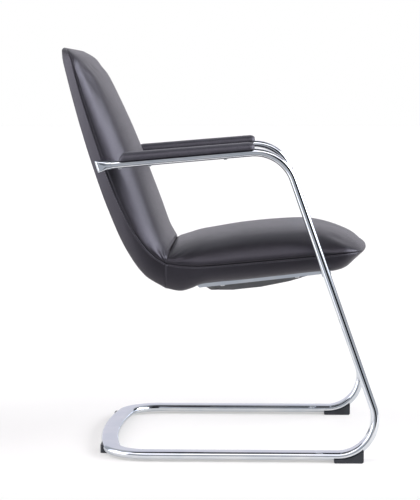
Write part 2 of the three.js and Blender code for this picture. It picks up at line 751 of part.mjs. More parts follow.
// Crowned top of a cushion above its seam, with a small upright step at the seam
function cushionDome(curves, halfAt, bowAt, along, across, inset, low, roundness) {
  const place = (u, v, height) => {
    const seam = curves[1].getPoint(u);
    const crown = curves[2].getPoint(u);
    const way = crown.clone().sub(seam);
    const full = way.length();
    const half = halfAt(u) - inset * 1.5;
    const point = seam.addScaledVector(way.normalize(), height(full));
    return point.add(new THREE.Vector3(-bowAt(u, v), v * half, 0));
  };
  const topAt = (u, v) => place(u, v, (full) => {
    const crown = Math.max(full - inset - seamStep, 0) * rise(v, roundness[0], roundness[1]);
    return crown + seamStep;
  });
  const lowAt = (u, v) => place(u, v, () => low);
  return slab(topAt, lowAt, along, across);
}

// Outer pad below the seam: rounded box section, flat at the seam
function outerPad(curves, halfAt, bowAt, along, across, squareness) {
  const place = (u, v, share) => {
    const outer = curves[0].getPoint(u);
    const seam = curves[1].getPoint(u);
    const point = outer.lerp(seam, share);
    return point.add(new THREE.Vector3(-bowAt(u, v), v * halfAt(u), 0));
  };
  const edgeShare = 0.94;
  const topAt = (u, v) => place(u, v, 1);
  const lowAt = (u, v) => place(u, v, (1 - rise(v, squareness, squareness)) * edgeShare);
  return slab(topAt, lowAt, along, across);
}

// Ribbon that follows the plywood's path, between two heights above its middle line
function plyRibbon(low, high, sideInset, endTrim = 0) {
  const along = spread(plySteps, (t) => THREE.MathUtils.clamp(t, endTrim, 1 - endTrim));
  const place = (t, v, height) => {
    const middle = plyPath.getPoint(t);
    const tangent = plyPath.getTangent(t);
    const normal = new THREE.Vector3(-tangent.z, 0, tangent.x);
    const fromTop = plyPath.getPoint(0).z - middle.z;
    const fromFront = plyPath.getPoint(1).x - middle.x;
    const plain = THREE.MathUtils.lerp(backTopWide, bodyWide, THREE.MathUtils.smoothstep(t, 0, 0.35)) / 2;
    const crease = (plain - creaseWide / 2) * Math.exp(-(((t - 0.58) / 0.12) ** 2));
    const half = plain - crease - rimWall - sideInset;
    const rounded = t < 0.5
      ? roundedHalf(half, backTopRadius, fromTop + backTopRadius * 0.2)
      : roundedHalf(half, noseCornerRadius, fromFront + noseCornerRadius * 0.2);
    return middle.addScaledVector(normal, height).add(new THREE.Vector3(0, v * rounded, 0));
  };
  return slab((t, v) => place(t, v, high), (t, v) => place(t, v, low), along, flatAcrossShares);
}

const spread = (count, ease) => Array.from({ length: count + 1 }, (_, k) => ease(k / count));
const acrossSteps = (count) => {
  const wave = (s) => Math.sin((s - 0.5) * Math.PI * 0.96);
  return spread(count, (s) => wave(s) / wave(1));
};
const fromTop = (count) => spread(count, (s) => 0.45 * s + 0.55 * (1 - Math.cos((s * Math.PI) / 2)));
const toNose = (count) => spread(count, (s) => 0.45 * s + 0.55 * Math.sin((s * Math.PI) / 2));

// Exponents that round the cushions' crowns, and stations of the flat and the padded sheets
const backRoundShares = [2.6, 1.75];
const seatRoundShares = [3.2, 2.1];
const flatAcrossShares = [-1, -0.5, 0, 0.5, 1];
const plyEndShare = 0.004;

function mirroredBolt(b) {
  const seat = b.seat.clone();
  seat.y *= -1;
  return { ...b, seat };
}

// Seat rails: flat bars under the seat, welded to the cross tube
const seatBolts = railBoltShares.map((share) => ({
  seat: onSeat(-railLength * share, -railSpacing / 2, -railThick / 2 - fitGap),
  way: railUp,
  grip: railThick + spacerHigh + plyThick + 3 * fitGap,
}));

const bothSides = (list) => list.flatMap((b) => [b, mirroredBolt(b)]);
const alongBolt = (b, distance) => b.seat.clone().addScaledVector(b.way, distance);

function plywoodShell() {
  const panel = plyRibbon(-plyFace, plyFace, plyGap, plyEndShare);
  const holes = bothSides([...backBolts, ...seatBolts]).map((b) => {
    const start = alongBolt(b, b.grip - plyThick - cutOverrun);
    return rod(nut.barrel + fitGap, plyThick + 2 * cutOverrun, start, b.way);
  });
  return cut(panel, ...holes, ...coverScrewRoom());
}

function seatRail() {
  const half = railThick / 2;
  const profile = new THREE.Shape([
    new THREE.Vector2(0, -half),
    new THREE.Vector2(0, half),
    new THREE.Vector2(-railLength, half),
    new THREE.Vector2(-railLength, half - railBevel * 0.2),
    new THREE.Vector2(-railLength + railBevel, -half),
  ]);
  const bar = new THREE.ExtrudeGeometry(profile, { depth: railWide, bevelEnabled: false })
    .rotateX(Math.PI / 2)
    .translate(0, (railWide - railSpacing) / 2, 0)
    .applyMatrix4(seatTurn);
  const depth = railThick + 2 * cutOverrun;
  const holes = seatBolts.map((b) => rod(bolt.shank + fitGap, depth, alongBolt(b, -cutOverrun), b.way));
  return cut(bar, crossTubeRod(crossTubeDiameter / 2 + fitGap), ...holes);
}

function crossTubeRod(radius, reach = halfSpacing - tubeWide / 2 - fitGap) {
  return rod(radius, 2 * reach, new THREE.Vector3(crossTubeX, -reach, crossTubeZ), yAxis, crossTubeSides);
}

function crossTube() {
  const radius = crossTubeDiameter / 2;
  return cut(crossTubeRod(radius), crossTubeRod(radius - crossTubeWall, halfSpacing));
}

// Spacers that carry the plywood above the rails
function seatSpacers() {
  return seatBolts.map((b) => cut(
    rod(spacerRadius, spacerHigh, alongBolt(b, railThick + 2 * fitGap), b.way, spacerSides),
    rod(bolt.shank + fitGap, spacerHigh + 2 * cutOverrun, alongBolt(b, railThick - cutOverrun), b.way),
  ));
}

function bolts(list) {
  return list.map((b) => fastener(bolt, b.grip + fitGap + nut.flangeHigh, b.seat, b.way));
}

// Tee nuts pressed into the plywood from its padded side
function teeNuts(list) {
  const bore = bolt.shank + fitGap;
  const profile = [
    new THREE.Vector2(bore, -nut.barrelHigh),
    new THREE.Vector2(nut.barrel, -nut.barrelHigh),
    new THREE.Vector2(nut.barrel, 0),
    new THREE.Vector2(nut.flange, 0),
    new THREE.Vector2(nut.flange, nut.flangeHigh),
    new THREE.Vector2(bore, nut.flangeHigh),
    new THREE.Vector2(bore, -nut.barrelHigh),
  ];
  return list.map((b) => {
    const turn = new THREE.Quaternion().setFromUnitVectors(yAxis, b.way);
    const place = alongBolt(b, b.grip + fitGap);
    const ring = facingOut(new THREE.LatheGeometry(profile, fastenerSides));
    return ring.applyQuaternion(turn).translate(place.x, place.y, place.z);
  });
}

function nutRoom(list) {
  return bothSides(list).map((b) => {
    const depth = nut.flangeHigh + 2 * cutOverrun;
    return rod(nut.flange + 4 * fitGap, depth, alongBolt(b, b.grip - cutOverrun / 2), b.way);
  });
}

// Space that the support needs in the underside of the seat
function supportRoom() {
  const reach = bodyWide;
  const radius = crossTubeDiameter / 2 + fitGap;
  const below = blockBetween(
    new THREE.Vector3(crossTubeX - radius, -reach, crossTubeZ - 2 * crossTubeDiameter),
    new THREE.Vector3(crossTubeX + radius, reach, crossTubeZ),
  );
  const outer = (railSpacing + railWide) / 2 + fitGap;
  const low = new THREE.Vector3(-railLength - 2 * fitGap, -outer, -railThick * 2);
  const high = new THREE.Vector3(0, -(railSpacing - railWide) / 2 + fitGap, railThick / 2 + fitGap);
  const rail = blockBetween(low, high).applyMatrix4(seatTurn);
  const coverRoom = blockBetween(
    new THREE.Vector3(coverMiddle - coverLength / 2 - fitGap, -coverWide / 2 - fitGap, -4 * railThick),
    new THREE.Vector3(coverMiddle + coverLength / 2 + fitGap, coverWide / 2 + fitGap, undersideZ),
  ).applyMatrix4(seatTurn);
  const spacerRoom = spacerRadius + 3 * fitGap;
  const spacers = bothSides(seatBolts).map((b) => {
    const depth = spacerHigh + 3 * cutOverrun;
    return rod(spacerRoom, depth, alongBolt(b, railThick), b.way, spacerSides);
  });
  const metal = [crossTubeRod(radius, reach), below, rail, mirrored(rail)];
  return [...metal, coverRoom, ...spacers, ...coverScrewRoom()];
}

// Bottom cover: a shallow bowl between the rails, with a boss for each screw
const coverTopZ = undersideZ - fitGap;
const coverMiddle = -coverFront - coverLength / 2;

function coverDome(inset, top) {
  const length = coverLength / 2 - inset;
  const half = coverWide / 2 - inset;
  const depthAt = (u, v) => {
    const taper = THREE.MathUtils.lerp(1, 0.62, THREE.MathUtils.smoothstep(u, 0, 1));
    const bulge = (coverDrop - coverEdge) * rise(u, 5, 2.6) * rise(v, 8, 4);
    return (coverEdge + bulge) * taper - inset;
  };
  const narrow = (u) => half - coverWide * coverEndShare * Math.abs(u) ** 5;
  const place = (u, v, z) => onSeat(coverMiddle + length * u, narrow(u) * v, z);
  const topAt = (u, v) => place(u, v, coverTopZ + top);
  const lowAt = (u, v) => place(u, v, coverTopZ - depthAt(u, v));
  const steps = acrossSteps(6);
  return slab(topAt, lowAt, steps, steps);
}

const coverScrews = [-1, 1].map((end) => ({
  seat: onSeat(
    coverMiddle + end * (coverLength / 2 - coverBossInset),
    -coverWide / 2 + coverBossInset,
    coverTopZ - coverEdge - screw.headHigh,
  ),
  way: railUp,
  grip: coverEdge + screw.headHigh + spacerHigh + railRecess + plyThick * 0.75,
}));

function coverScrewRoom() {
  return bothSides(coverScrews).map((c) => rod(screw.shank + fitGap, c.grip + cutOverrun, c.seat, c.way));
}

function bottomCover() {
  const shape = coverDome(0, 0);
  const bowl = cut(shape, coverDome(coverWall, cutOverrun));
  const towers = bothSides(coverScrews).map((c) => {
    const start = c.seat.clone().addScaledVector(c.way, -coverDrop);
    const depth = coverDrop + coverEdge + screw.headHigh;
    return common(rod(coverBossRadius, depth, start, c.way, spacerSides), shape);
  });
  const heads = bothSides(coverScrews)
    .map((c) => rod(screw.head + 2 * fitGap, coverDrop, c.seat, c.way.clone().negate(), spacerSides));
  return cut(joined(bowl, ...towers), ...heads, ...coverScrewRoom());
}

function backOuterPad() {
  const pad = outerPad(backCurves, backHalf, noBow, backAlong, padAcrossShares, padSquareness);
  const tongue = tongueBlock(fitGap);
  const heads = bothSides(backBolts).map((b) => {
    const back = b.way.clone().negate();
    return rod(bolt.head + fitGap, bolt.headHigh + 2 * fitGap, alongBolt(b, fitGap), back);
  });
  return cut(pad, plyPocket(), tongue, mirrored(tongue), ...heads);
}

function seatOuterPad() {
  const pad = outerPad(seatCurves, seatHalf, seatBow, seatAlong, padAcrossShares, padSquareness);
  return cut(pad, plyPocket(), ...supportRoom());
}

// Pocket in the outer pads: room for the plywood and for the foam before it
function plyPocket() {
  return plyRibbon(-plyFace - fitGap, foamDepth, 0);
}

// Leather cover of a cushion, open at the seam side, and the foam core that fills it. The core's
// lower part reaches down through the pocket to the plywood.
const backAlong = fromTop(15);
const seatAlong = toNose(15);
const coverAcross = acrossSteps(14);
const padAcrossShares = [-1, -0.996, -0.98, -0.945, -0.88, -0.5, 0, 0.5, 0.88, 0.945, 0.98, 0.996, 1];
const padSquareness = 12;
const hollowAcross = acrossSteps(10);
const backInnerShares = fromTop(12).map((u) => 0.035 + 0.955 * u);
const seatInnerShares = toNose(12).map((u) => 0.01 + 0.965 * u);

function cushionCover(curves, halfAt, bowAt, along, inner, round) {
  const skin = cushionDome(curves, halfAt, bowAt, along, coverAcross, 0, fitGap, round);
  const hollow = cushionDome(curves, halfAt, bowAt, inner, hollowAcross, leatherThick, -cutOverrun, round);
  return cut(skin, hollow);
}

function foamCore(curves, halfAt, bowAt, inner, trim, round, nuts) {
  const skin = leatherThick + 2 * fitGap;
  const last = inner.length - 1;
  const along = inner.map((u, k) => (k === 0 ? u + trim[0] : u - (k === last ? trim[1] : 0)));
  const endHalf = (u) => (u < inner[1] ? inner[0] : u > inner[last - 1] ? inner[last] : u);
  const coreHalf = (u) => halfAt(endHalf(u));
  const dome = cushionDome(curves, coreHalf, bowAt, along, hollowAcross, skin, 5 * fitGap, round);
  const deep = cushionDome(curves, coreHalf, bowAt, along, hollowAcross, skin, -foamDepth, round);
  const lower = common(deep, plyRibbon(plyFace + fitGap, foamDepth - fitGap, 4 * fitGap, plyEndShare));
  const behind = plyRibbon(-2 * foamDepth, plyFace + fitGap, -2 * rimWall);
  return cut(joined(dome, lower), behind, ...nutRoom(nuts));
}

const backTrimShares = [0.004, 0.004];
const seatTrimShares = [0.004, 0.006];

function backFoam() {
  return foamCore(backCurves, backHalf, noBow, backInnerShares, backTrimShares, backRoundShares, backBolts);
}

function seatFoam() {
  return foamCore(seatCurves, seatHalf, seatBow, seatInnerShares, seatTrimShares, seatRoundShares, seatBolts);
}

function backCover() {
  return cushionCover(backCurves, backHalf, noBow, backAlong, backInnerShares, backRoundShares);
}

function seatCover() {
  return cushionCover(seatCurves, seatHalf, seatBow, seatAlong, seatInnerShares, seatRoundShares);
}

const root = new THREE.Group();

function add(name, geometry, finish) {
  const mesh = new THREE.Mesh(geometry, new THREE.MeshStandardMaterial(finish));
  mesh.name = name;
  root.add(mesh);
}

function addPair(name, geometry, finish) {
  add(`${name}_right`, geometry, finish);
  add(`${name}_left`, mirrored(geometry), finish);
}

function addPairs(name, pieces, finish) {
  pieces.forEach((piece, k) => addPair(`${name}_${k + 1}`, piece, finish));
}

addPair('frame_half', frameHalf(), chrome);
add('rear_joint_sleeve', rearSleeve(), steel);
addPair('front_glide', frontGlide(), blackPlastic);
addPair('rear_glide', rearGlide(), blackPlastic);
addPair('arm_pad', armPad(), leather);
addPair('arm_pad_base', padBase(), blackPlastic);
addPair('arm_casting', armCasting(), chrome);
addPairs('arm_screw', armScrews.map((a) => fastener(screw, a.length, a.seat, armUp)), steel);
addPairs('glide_screw', glideScrews.map((g) => fastener(screw, g.length, g.seat, zAxis)), steel);
addPairs('back_bolt', bolts(backBolts), steel);
addPairs('back_tee_nut', teeNuts(backBolts), steel);
addPairs('seat_bolt', bolts(seatBolts), steel);
addPairs('seat_tee_nut', teeNuts(seatBolts), steel);
addPairs('seat_spacer', seatSpacers(), blackPlastic);
add('bottom_cover', bottomCover(), blackPlastic);
addPairs('cover_screw', coverScrews.map((c) => fastener(screw, c.grip, c.seat, c.way)), steel);
addPair('seat_rail', seatRail(), chrome);
add('seat_cross_tube', crossTube(), chrome);
add('plywood_shell', plywoodShell(), plywood);
add('back_outer_pad', backOuterPad(), leather);
add('seat_outer_pad', seatOuterPad(), leather);
add('back_foam', backFoam(), foam);
add('seat_foam', seatFoam(), foam);
add('back_cushion_cover', backCover(), leather);
add('seat_cushion_cover', seatCover(), leather);

// The origin lies under the middle of the chair's outer box
const box = new THREE.Box3().setFromObject(root);
root.position.x = -(box.min.x + box.max.x) / 2;

export default root;
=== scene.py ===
import json
from math import asin, atan2, cos, floor, hypot, pi, radians, sin, sqrt, tan

import bmesh
import bpy
import numpy as np
from mathutils import Matrix, Vector


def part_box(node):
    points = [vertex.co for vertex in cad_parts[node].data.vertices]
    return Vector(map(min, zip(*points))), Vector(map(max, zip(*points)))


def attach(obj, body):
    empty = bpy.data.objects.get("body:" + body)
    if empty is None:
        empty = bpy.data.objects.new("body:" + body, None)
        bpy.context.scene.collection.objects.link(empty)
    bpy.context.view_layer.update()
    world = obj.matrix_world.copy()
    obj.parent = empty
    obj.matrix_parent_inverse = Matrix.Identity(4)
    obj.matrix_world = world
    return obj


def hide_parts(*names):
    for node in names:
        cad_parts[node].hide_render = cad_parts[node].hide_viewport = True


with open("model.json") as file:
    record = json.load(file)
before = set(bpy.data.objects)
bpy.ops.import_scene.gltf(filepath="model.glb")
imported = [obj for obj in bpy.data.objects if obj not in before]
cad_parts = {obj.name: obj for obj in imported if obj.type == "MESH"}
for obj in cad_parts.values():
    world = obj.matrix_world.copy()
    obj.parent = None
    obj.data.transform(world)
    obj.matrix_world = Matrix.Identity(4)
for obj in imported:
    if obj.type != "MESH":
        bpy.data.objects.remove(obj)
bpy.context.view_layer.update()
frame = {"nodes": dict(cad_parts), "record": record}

# Sled base visitor chair. Shapes are worked out in millimetres in the chair's own directions:
# x towards the front, z up, and y to the chair's left. They become metres when a mesh is made.
millimetre = 0.001
fitGap = 0.3  # clearance between pieces
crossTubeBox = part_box("seat_cross_tube")

# Places that the pieces share


def smoothstep(x, low, high):
    t = np.clip((np.asarray(x, float) - low) / (high - low), 0, 1)
    return t * t * (3 - 2 * t)


def lerp(a, b, t):
    return a + (b - a) * t


def rollOff(distance, over):  # 0 inside, and growing in a quarter round to 1 at the end
    near = min(max(1 - distance / over, 0), 1)
    return 1 - sqrt(1 - near ** 2)


frameTube = {
    "wide": 38, "thick": 16, "spacing": 532, "runnerHeight": 13,
    "rearBarX": -248.5, "bowRadius": 1200, "cornerRadius": 80,
    "footCornerX": 351.9, "footRadius": 77,
    "handCornerX": 127.6, "handCornerZ": 647.2, "handRadius": 84.4,
    "armSlope": radians(5.08), "armEndX": -223.5,
    "cornerSteps": 12, "cornerEase": 0.01, "runStep": 36, "turnStep": radians(1.6),
}
halfSpacing = frameTube["spacing"] / 2
legForward = frameTube["footCornerX"] - frameTube["handCornerX"]
legUp = frameTube["handCornerZ"] - frameTube["runnerHeight"]
legLean = atan2(legForward, legUp)
legLength = hypot(legForward, legUp)
armForward = frameTube["handCornerX"] - frameTube["armEndX"]
armEndZ = frameTube["handCornerZ"] - armForward * tan(frameTube["armSlope"])
seatSupport = {
    "tubeDiameter": 20, "tubeZ": 390.5, "tubeStations": 13, "tubeCornerSteps": 10,
    "railLength": 272, "railThick": 8, "railRecess": 1, "railEdge": 0.7, "slope": radians(6.5),
}
crossTubeX = frameTube["footCornerX"] - (seatSupport["tubeZ"] - frameTube["runnerHeight"]) * tan(legLean)
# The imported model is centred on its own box, so its cross tube tells how far it was moved
shiftX = (crossTubeBox[0].x + crossTubeBox[1].x) / 2 / millimetre - crossTubeX


def onArm(x, y, z):  # the arm's own directions: forward from its rear end, and square to it
    s = frameTube["armSlope"]
    forward, up = x * cos(s) - z * sin(s), x * sin(s) + z * cos(s)
    return frameTube["armEndX"] + forward, -halfSpacing + y, armEndZ + up


def onSeat(x, z):  # the seat's own directions: along the rails, from the cross tube
    s = seatSupport["slope"]
    return (crossTubeX + x * cos(s) - z * sin(s), seatSupport["tubeZ"] + x * sin(s) + z * cos(s))


# Meshes


def addObject(name, data):
    piece = bpy.data.objects.new(name, data)
    bpy.context.scene.collection.objects.link(piece)
    return piece


def makeObject(name, points, faces):
    mesh = bpy.data.meshes.new(name)
    points = (np.asarray(points, float).reshape(-1, 3) + (shiftX, 0, 0)) * millimetre
    mesh.from_pydata(points.tolist(), [], faces)
    bm = bmesh.new()
    bm.from_mesh(mesh)
    if bm.calc_volume(signed=True) < 0:
        bmesh.ops.reverse_faces(bm, faces=bm.faces)
    for face in bm.faces:
        face.smooth = True
    bm.to_mesh(mesh)
    bm.free()
    return addObject(name, mesh)


def gridFaces(rows, columns, start=0, turned=False):
    faces = []
    for i in range(rows - 1):
        for j in range(columns - 1):
            a = start + i * columns + j
            quad = (a, a + columns, a + columns + 1, a + 1)
            faces.append(quad[::-1] if turned else quad)
    return faces


def rimOf(rows, columns, start=0):
    top = [start + j for j in range(columns)]
    right = [start + i * columns + columns - 1 for i in range(1, rows)]
    bottom = [start + (rows - 1) * columns + j for j in range(columns - 2, -1, -1)]
    left = [start + i * columns for i in range(rows - 2, 0, -1)]
    return top + right + bottom + left


def closedShell(name, top, low):  # two grids of points that share one rim
    rows, columns = top.shape[:2]
    points = np.concatenate([top.reshape(-1, 3), low.reshape(-1, 3)])
    faces = gridFaces(rows, columns) + gridFaces(rows, columns, rows * columns, True)
    upper, lower = rimOf(rows, columns), rimOf(rows, columns, rows * columns)
    for k in range(len(upper)):
        n = (k + 1) % len(upper)
        faces.append((upper[k], upper[n], lower[n], lower[k]))
    return makeObject(name, points, faces)


def loftRings(name, rings):  # a closed solid through rings that have the same number of points
    rings = np.asarray(rings, float)
    count, around = rings.shape[:2]
    faces = []
    for i in range(count - 1):
        for j in range(around):
            n = (j + 1) % around
            faces.append((i * around + j, i * around + n, (i + 1) * around + n, (i + 1) * around + j))
    faces.append(tuple(range(around))[::-1])
    faces.append(tuple((count - 1) * around + j for j in range(around)))
    return makeObject(name, rings, faces)


def settle(piece):  # the evaluated shape becomes the plain mesh, and its modifiers go
    bpy.context.view_layer.update()
    graph = bpy.context.evaluated_depsgraph_get()
    mesh = bpy.data.meshes.new_from_object(piece.evaluated_get(graph))
    mesh.name = piece.name
    if piece.type != "MESH":
        made = addObject(piece.name, mesh)
        name = piece.name
        bpy.data.objects.remove(piece)
        made.name = name
        return made
    piece.modifiers.clear()
    piece.data = mesh
    return piece


def mirrorPiece(piece, name):
    mesh = piece.data.copy()
    mesh.transform(Matrix.Diagonal((1, -1, 1, 1)))
    mesh.flip_normals()
    mesh.name = name
    return addObject(name, mesh)


def easeEdges(piece, width, segments, angle):
    soften = piece.modifiers.new("Bevel", "BEVEL")
    soften.width = width * millimetre
    soften.segments = segments
    soften.limit_method = "ANGLE"
    soften.angle_limit = radians(angle)
    soften.harden_normals = True
    return settle(piece)


solidCopy = {"mergeWithin": 0.00002, "flatAngle": radians(0.6)}


def softenedNode(node, name, bevel, segments=3, angle=30):  # a merged copy of a solid, with eased edges
    mesh = frame["nodes"][node].data.copy()
    mesh.name = name
    bm = bmesh.new()
    bm.from_mesh(mesh)
    bmesh.ops.remove_doubles(bm, verts=bm.verts, dist=solidCopy["mergeWithin"])
    bmesh.ops.dissolve_limit(bm, angle_limit=solidCopy["flatAngle"], verts=bm.verts, edges=bm.edges)
    bm.to_mesh(mesh)
    bm.free()
    mesh.materials.clear()
    for attribute in [a.name for a in mesh.attributes if a.name == "custom_normal"]:
        mesh.attributes.remove(mesh.attributes[attribute])
    mesh.shade_smooth()
    return easeEdges(addObject(name, mesh), bevel, segments, angle)


def finishPiece(piece, material, slot, *nodes):
    piece.data.materials.clear()
    piece.data.materials.append(material)
    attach(piece, "root")
    if nodes:
        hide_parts(*nodes)
    return piece


# Shader maths


class Wire:  # one output socket, with the operators that the finishes use
    def __init__(self, finish, socket):
        self.finish, self.socket = finish, socket

    def math(self, operation, *others):
        return self.finish.node("ShaderNodeMath", {"operation": operation}, dict(enumerate((self, *others))))

    def __add__(self, other):
        return self.math("ADD", other)

    def __mul__(self, other):
        return self.math("MULTIPLY", other)

    def __rsub__(self, other):
        return self.finish.node("ShaderNodeMath", {"operation": "SUBTRACT"}, {0: other, 1: self})

    __radd__ = __add__
    __rmul__ = __mul__

    def between(self, low, high):  # a soft step from 0 at low to 1 at high
        settings = {"interpolation_type": "SMOOTHSTEP"}
        sockets = {"Value": self, "From Min": low, "From Max": high}
        return self.finish.node("ShaderNodeMapRange", settings, sockets)


class Finish:  # a material's node tree, with one method for any node
    def __init__(self, name, **constants):
        self.material = bpy.data.materials.new(name)
        self.material.use_nodes = True
        self.tree = self.material.node_tree
        self.tree.nodes.clear()
        self.output = self.tree.nodes.new("ShaderNodeOutputMaterial")
        self.shader = self.tree.nodes.new("ShaderNodeBsdfPrincipled")
        self.tree.links.new(self.shader.outputs[0], self.output.inputs["Surface"])
        for socket, value in constants.items():
            self.feed(socket.replace("_", " "), value)

    def node(self, kind, settings=None, sockets=None, out=0):
        made = self.tree.nodes.new(kind)
        for key, value in (settings or {}).items():
            setattr(made, key, value)
        for key, value in (sockets or {}).items():
            self.join(made.inputs[key], value)
        return Wire(self, made.outputs[out])

    def join(self, socket, value):
        if isinstance(value, Wire):
            self.tree.links.new(value.socket, socket)
        elif isinstance(value, tuple) and len(value) == 3 and len(socket.default_value) == 4:
            socket.default_value = (*value, 1)
        else:
            socket.default_value = value

    def feed(self, socket, value):
        self.join(self.shader.inputs[socket], value)

    def place(self):
        return self.node("ShaderNodeTexCoord", out="Object")

    def noise(self, vector, scale, detail=2, roughness=0.5, out=0):
        sockets = {"Vector": vector, "Scale": scale, "Detail": detail, "Roughness": roughness}
        return self.node("ShaderNodeTexNoise", None, sockets, out)

    def cells(self, vector, scale, feature="F1", out=0):
        sockets = {"Vector": vector, "Scale": scale}
        return self.node("ShaderNodeTexVoronoi", {"feature": feature}, sockets, out)

    def moved(self, vector, amount, scale):  # the place, shaken by noise
        shake = self.noise(vector, scale, 2, 0.5, 1)
        centred = self.node("ShaderNodeVectorMath", {"operation": "SUBTRACT"}, {0: shake, 1: (0.5, 0.5, 0.5)})
        scaled = self.node("ShaderNodeVectorMath", {"operation": "SCALE"}, {0: centred, "Scale": amount})
        return self.node("ShaderNodeVectorMath", {"operation": "ADD"}, {0: vector, 1: scaled})

    def blendColours(self, factor, first, second):
        made = self.tree.nodes.new("ShaderNodeMix")
        made.data_type = "RGBA"
        self.join(made.inputs[0], factor)
        self.join(made.inputs[6], first)
        self.join(made.inputs[7], second)
        return Wire(self, made.outputs[2])

    def toned(self, tone, look):  # the base colour, between a look's dark and light ones
        self.feed("Base Color", self.blendColours(tone, look["dark"], look["light"]))

    def bump(self, height, distance, strength, normal=None):
        sockets = {"Height": height, "Distance": distance, "Strength": strength}
        if normal is not None:
            sockets["Normal"] = normal
        return self.node("ShaderNodeBump", None, sockets)


# Finishes


leatherGrain = {
    "shake": 0.0012, "shakeScale": 420, "pebbles": 760, "finePebbles": 1500, "cracks": 430, "crackWide": 0.16,
    "cloudScale": 9, "patchScale": 46, "tones": (0.36, 0.66), "crackShade": 0.72,
    "swellScale": 60, "swellDeep": 0.0011, "swellStrength": 0.28, "grainDeep": 0.00022, "grainStrength": 0.55,
}


def makeLeather(name, dark, light, shine):
    g = leatherGrain
    finish = Finish(name, IOR=1.56, Specular_Tint=(0.91, 0.87, 1.0), Sheen_Weight=0.04, Sheen_Roughness=0.4)
    place = finish.place()
    shaken = finish.moved(place, g["shake"], g["shakeScale"])
    pebble = finish.cells(shaken, g["pebbles"])  # the pebbles of the grain, about 1.3 mm
    fine = finish.cells(shaken, g["finePebbles"])
    crack = finish.cells(shaken, g["cracks"], "DISTANCE_TO_EDGE").between(0.0, g["crackWide"])
    cloud = finish.noise(place, g["cloudScale"], 4, 0.6)
    patch = finish.noise(place, g["patchScale"], 3, 0.6)
    tone = (cloud * 0.65 + patch * 0.35).between(*g["tones"])
    colour = finish.blendColours(tone, dark, light)
    shade = tuple(g["crackShade"] * c for c in dark)
    finish.feed("Base Color", finish.blendColours(crack, shade, colour))
    finish.feed("Roughness", shine + 0.10 * patch + 0.05 * (1 - crack))
    grain = pebble * -0.55 + fine * -0.2 + crack * 0.5
    swell = finish.noise(place, g["swellScale"], 3, 0.5)
    swollen = finish.bump(swell, g["swellDeep"], g["swellStrength"])
    finish.feed("Normal", finish.bump(grain, g["grainDeep"], g["grainStrength"], swollen))
    return finish.material


chromeLook = {
    "dark": (0.60, 0.63, 0.67), "light": (0.68, 0.695, 0.715), "rough": 0.035, "smear": 0.05,
    "rippleScale": 40, "rippleDeep": 0.0006, "rippleStrength": 0.10,
}


def makeChrome(name):
    c = chromeLook
    finish = Finish(name, Metallic=1.0, Specular_Tint=(0.80, 0.82, 0.85))
    place = finish.place()
    cloud = finish.noise(place, 14, 3, 0.55)
    smear = finish.noise(place, 85, 4, 0.65)
    finish.toned(cloud.between(0.35, 0.7), c)
    finish.feed("Roughness", c["rough"] + c["smear"] * smear.between(0.45, 0.8))
    ripple = finish.noise(place, c["rippleScale"], 1, 0.4)
    finish.feed("Normal", finish.bump(ripple, c["rippleDeep"], c["rippleStrength"]))
    return finish.material


plasticLook = {
    "dark": (0.016, 0.018, 0.022), "light": (0.030, 0.033, 0.040), "rough": 0.46, "sparkScale": 1900,
}


def makePlastic(name):
    finish = Finish(name, IOR=1.46)
    place = finish.place()
    spark = finish.cells(place, plasticLook["sparkScale"])
    cloud = finish.noise(place, 30, 4, 0.6)
    finish.toned(cloud.between(0.3, 0.75), plasticLook)
    finish.feed("Roughness", plasticLook["rough"] + 0.12 * cloud)
    finish.feed("Normal", finish.bump(spark, 0.00015, 0.35))
    return finish.material


steelLook = {"dark": (0.42, 0.44, 0.46), "light": (0.62, 0.63, 0.62), "rough": 0.28, "spangleScale": 420}


def makeSteel(name):
    finish = Finish(name, Metallic=1.0)
    place = finish.place()
    spangle = finish.cells(place, steelLook["spangleScale"], "F1", "Color")
    grey = finish.node("ShaderNodeSeparateColor", None, {0: spangle})
    finish.toned(grey, steelLook)
    finish.feed("Roughness", steelLook["rough"] + 0.18 * grey)
    finish.feed("Normal", finish.bump(finish.noise(place, 900, 2, 0.5), 0.0001, 0.3))
    return finish.material


plywoodLook = {
    "dark": (0.50, 0.33, 0.18), "light": (0.74, 0.56, 0.36), "rough": 0.55, "stretch": (14, 140, 14),
}


def makePlywood(name):
    finish = Finish(name, IOR=1.45)
    sockets = {"Vector": finish.place(), "Scale": plywoodLook["stretch"]}
    stretched = finish.node("ShaderNodeMapping", None, sockets)
    figure = finish.noise(stretched, 1.4, 5, 0.6).between(0.35, 0.68)
    pore = finish.noise(stretched, 9, 2, 0.6)
    finish.toned(figure, plywoodLook)
    finish.feed("Roughness", plywoodLook["rough"] + 0.2 * pore)
    finish.feed("Normal", finish.bump(pore, 0.0003, 0.5))
    return finish.material


foamLook = {"dark": (0.42, 0.38, 0.28), "light": (0.82, 0.78, 0.64), "rough": 0.95, "cellScale": 900}


def makeFoam(name):
    finish = Finish(name, Roughness=foamLook["rough"])
    cell = finish.cells(finish.place(), foamLook["cellScale"])
    finish.toned(cell.between(0.1, 0.7), foamLook)
    finish.feed("Normal", finish.bump(cell, 0.0006, 0.7))
    return finish.material


leather = makeLeather("charcoal leather", (0.0115, 0.0098, 0.0118), (0.0180, 0.0156, 0.0186), 0.335)
padLeather = makeLeather("arm pad leather", (0.036, 0.034, 0.040), (0.054, 0.052, 0.060), 0.34)
threadGrey = makeLeather("stitch thread", (0.17, 0.16, 0.18), (0.27, 0.26, 0.28), 0.5)
chrome = makeChrome("mirror chrome")
blackPlastic = makePlastic("moulded black plastic")
zincSteel = makeSteel("zinc plated steel")
plywoodFinish = makePlywood("beech plywood")
foamFinish = makeFoam("seat foam")
print("finishes made")

# Chromed tubes: a section swept along a path by geometry nodes


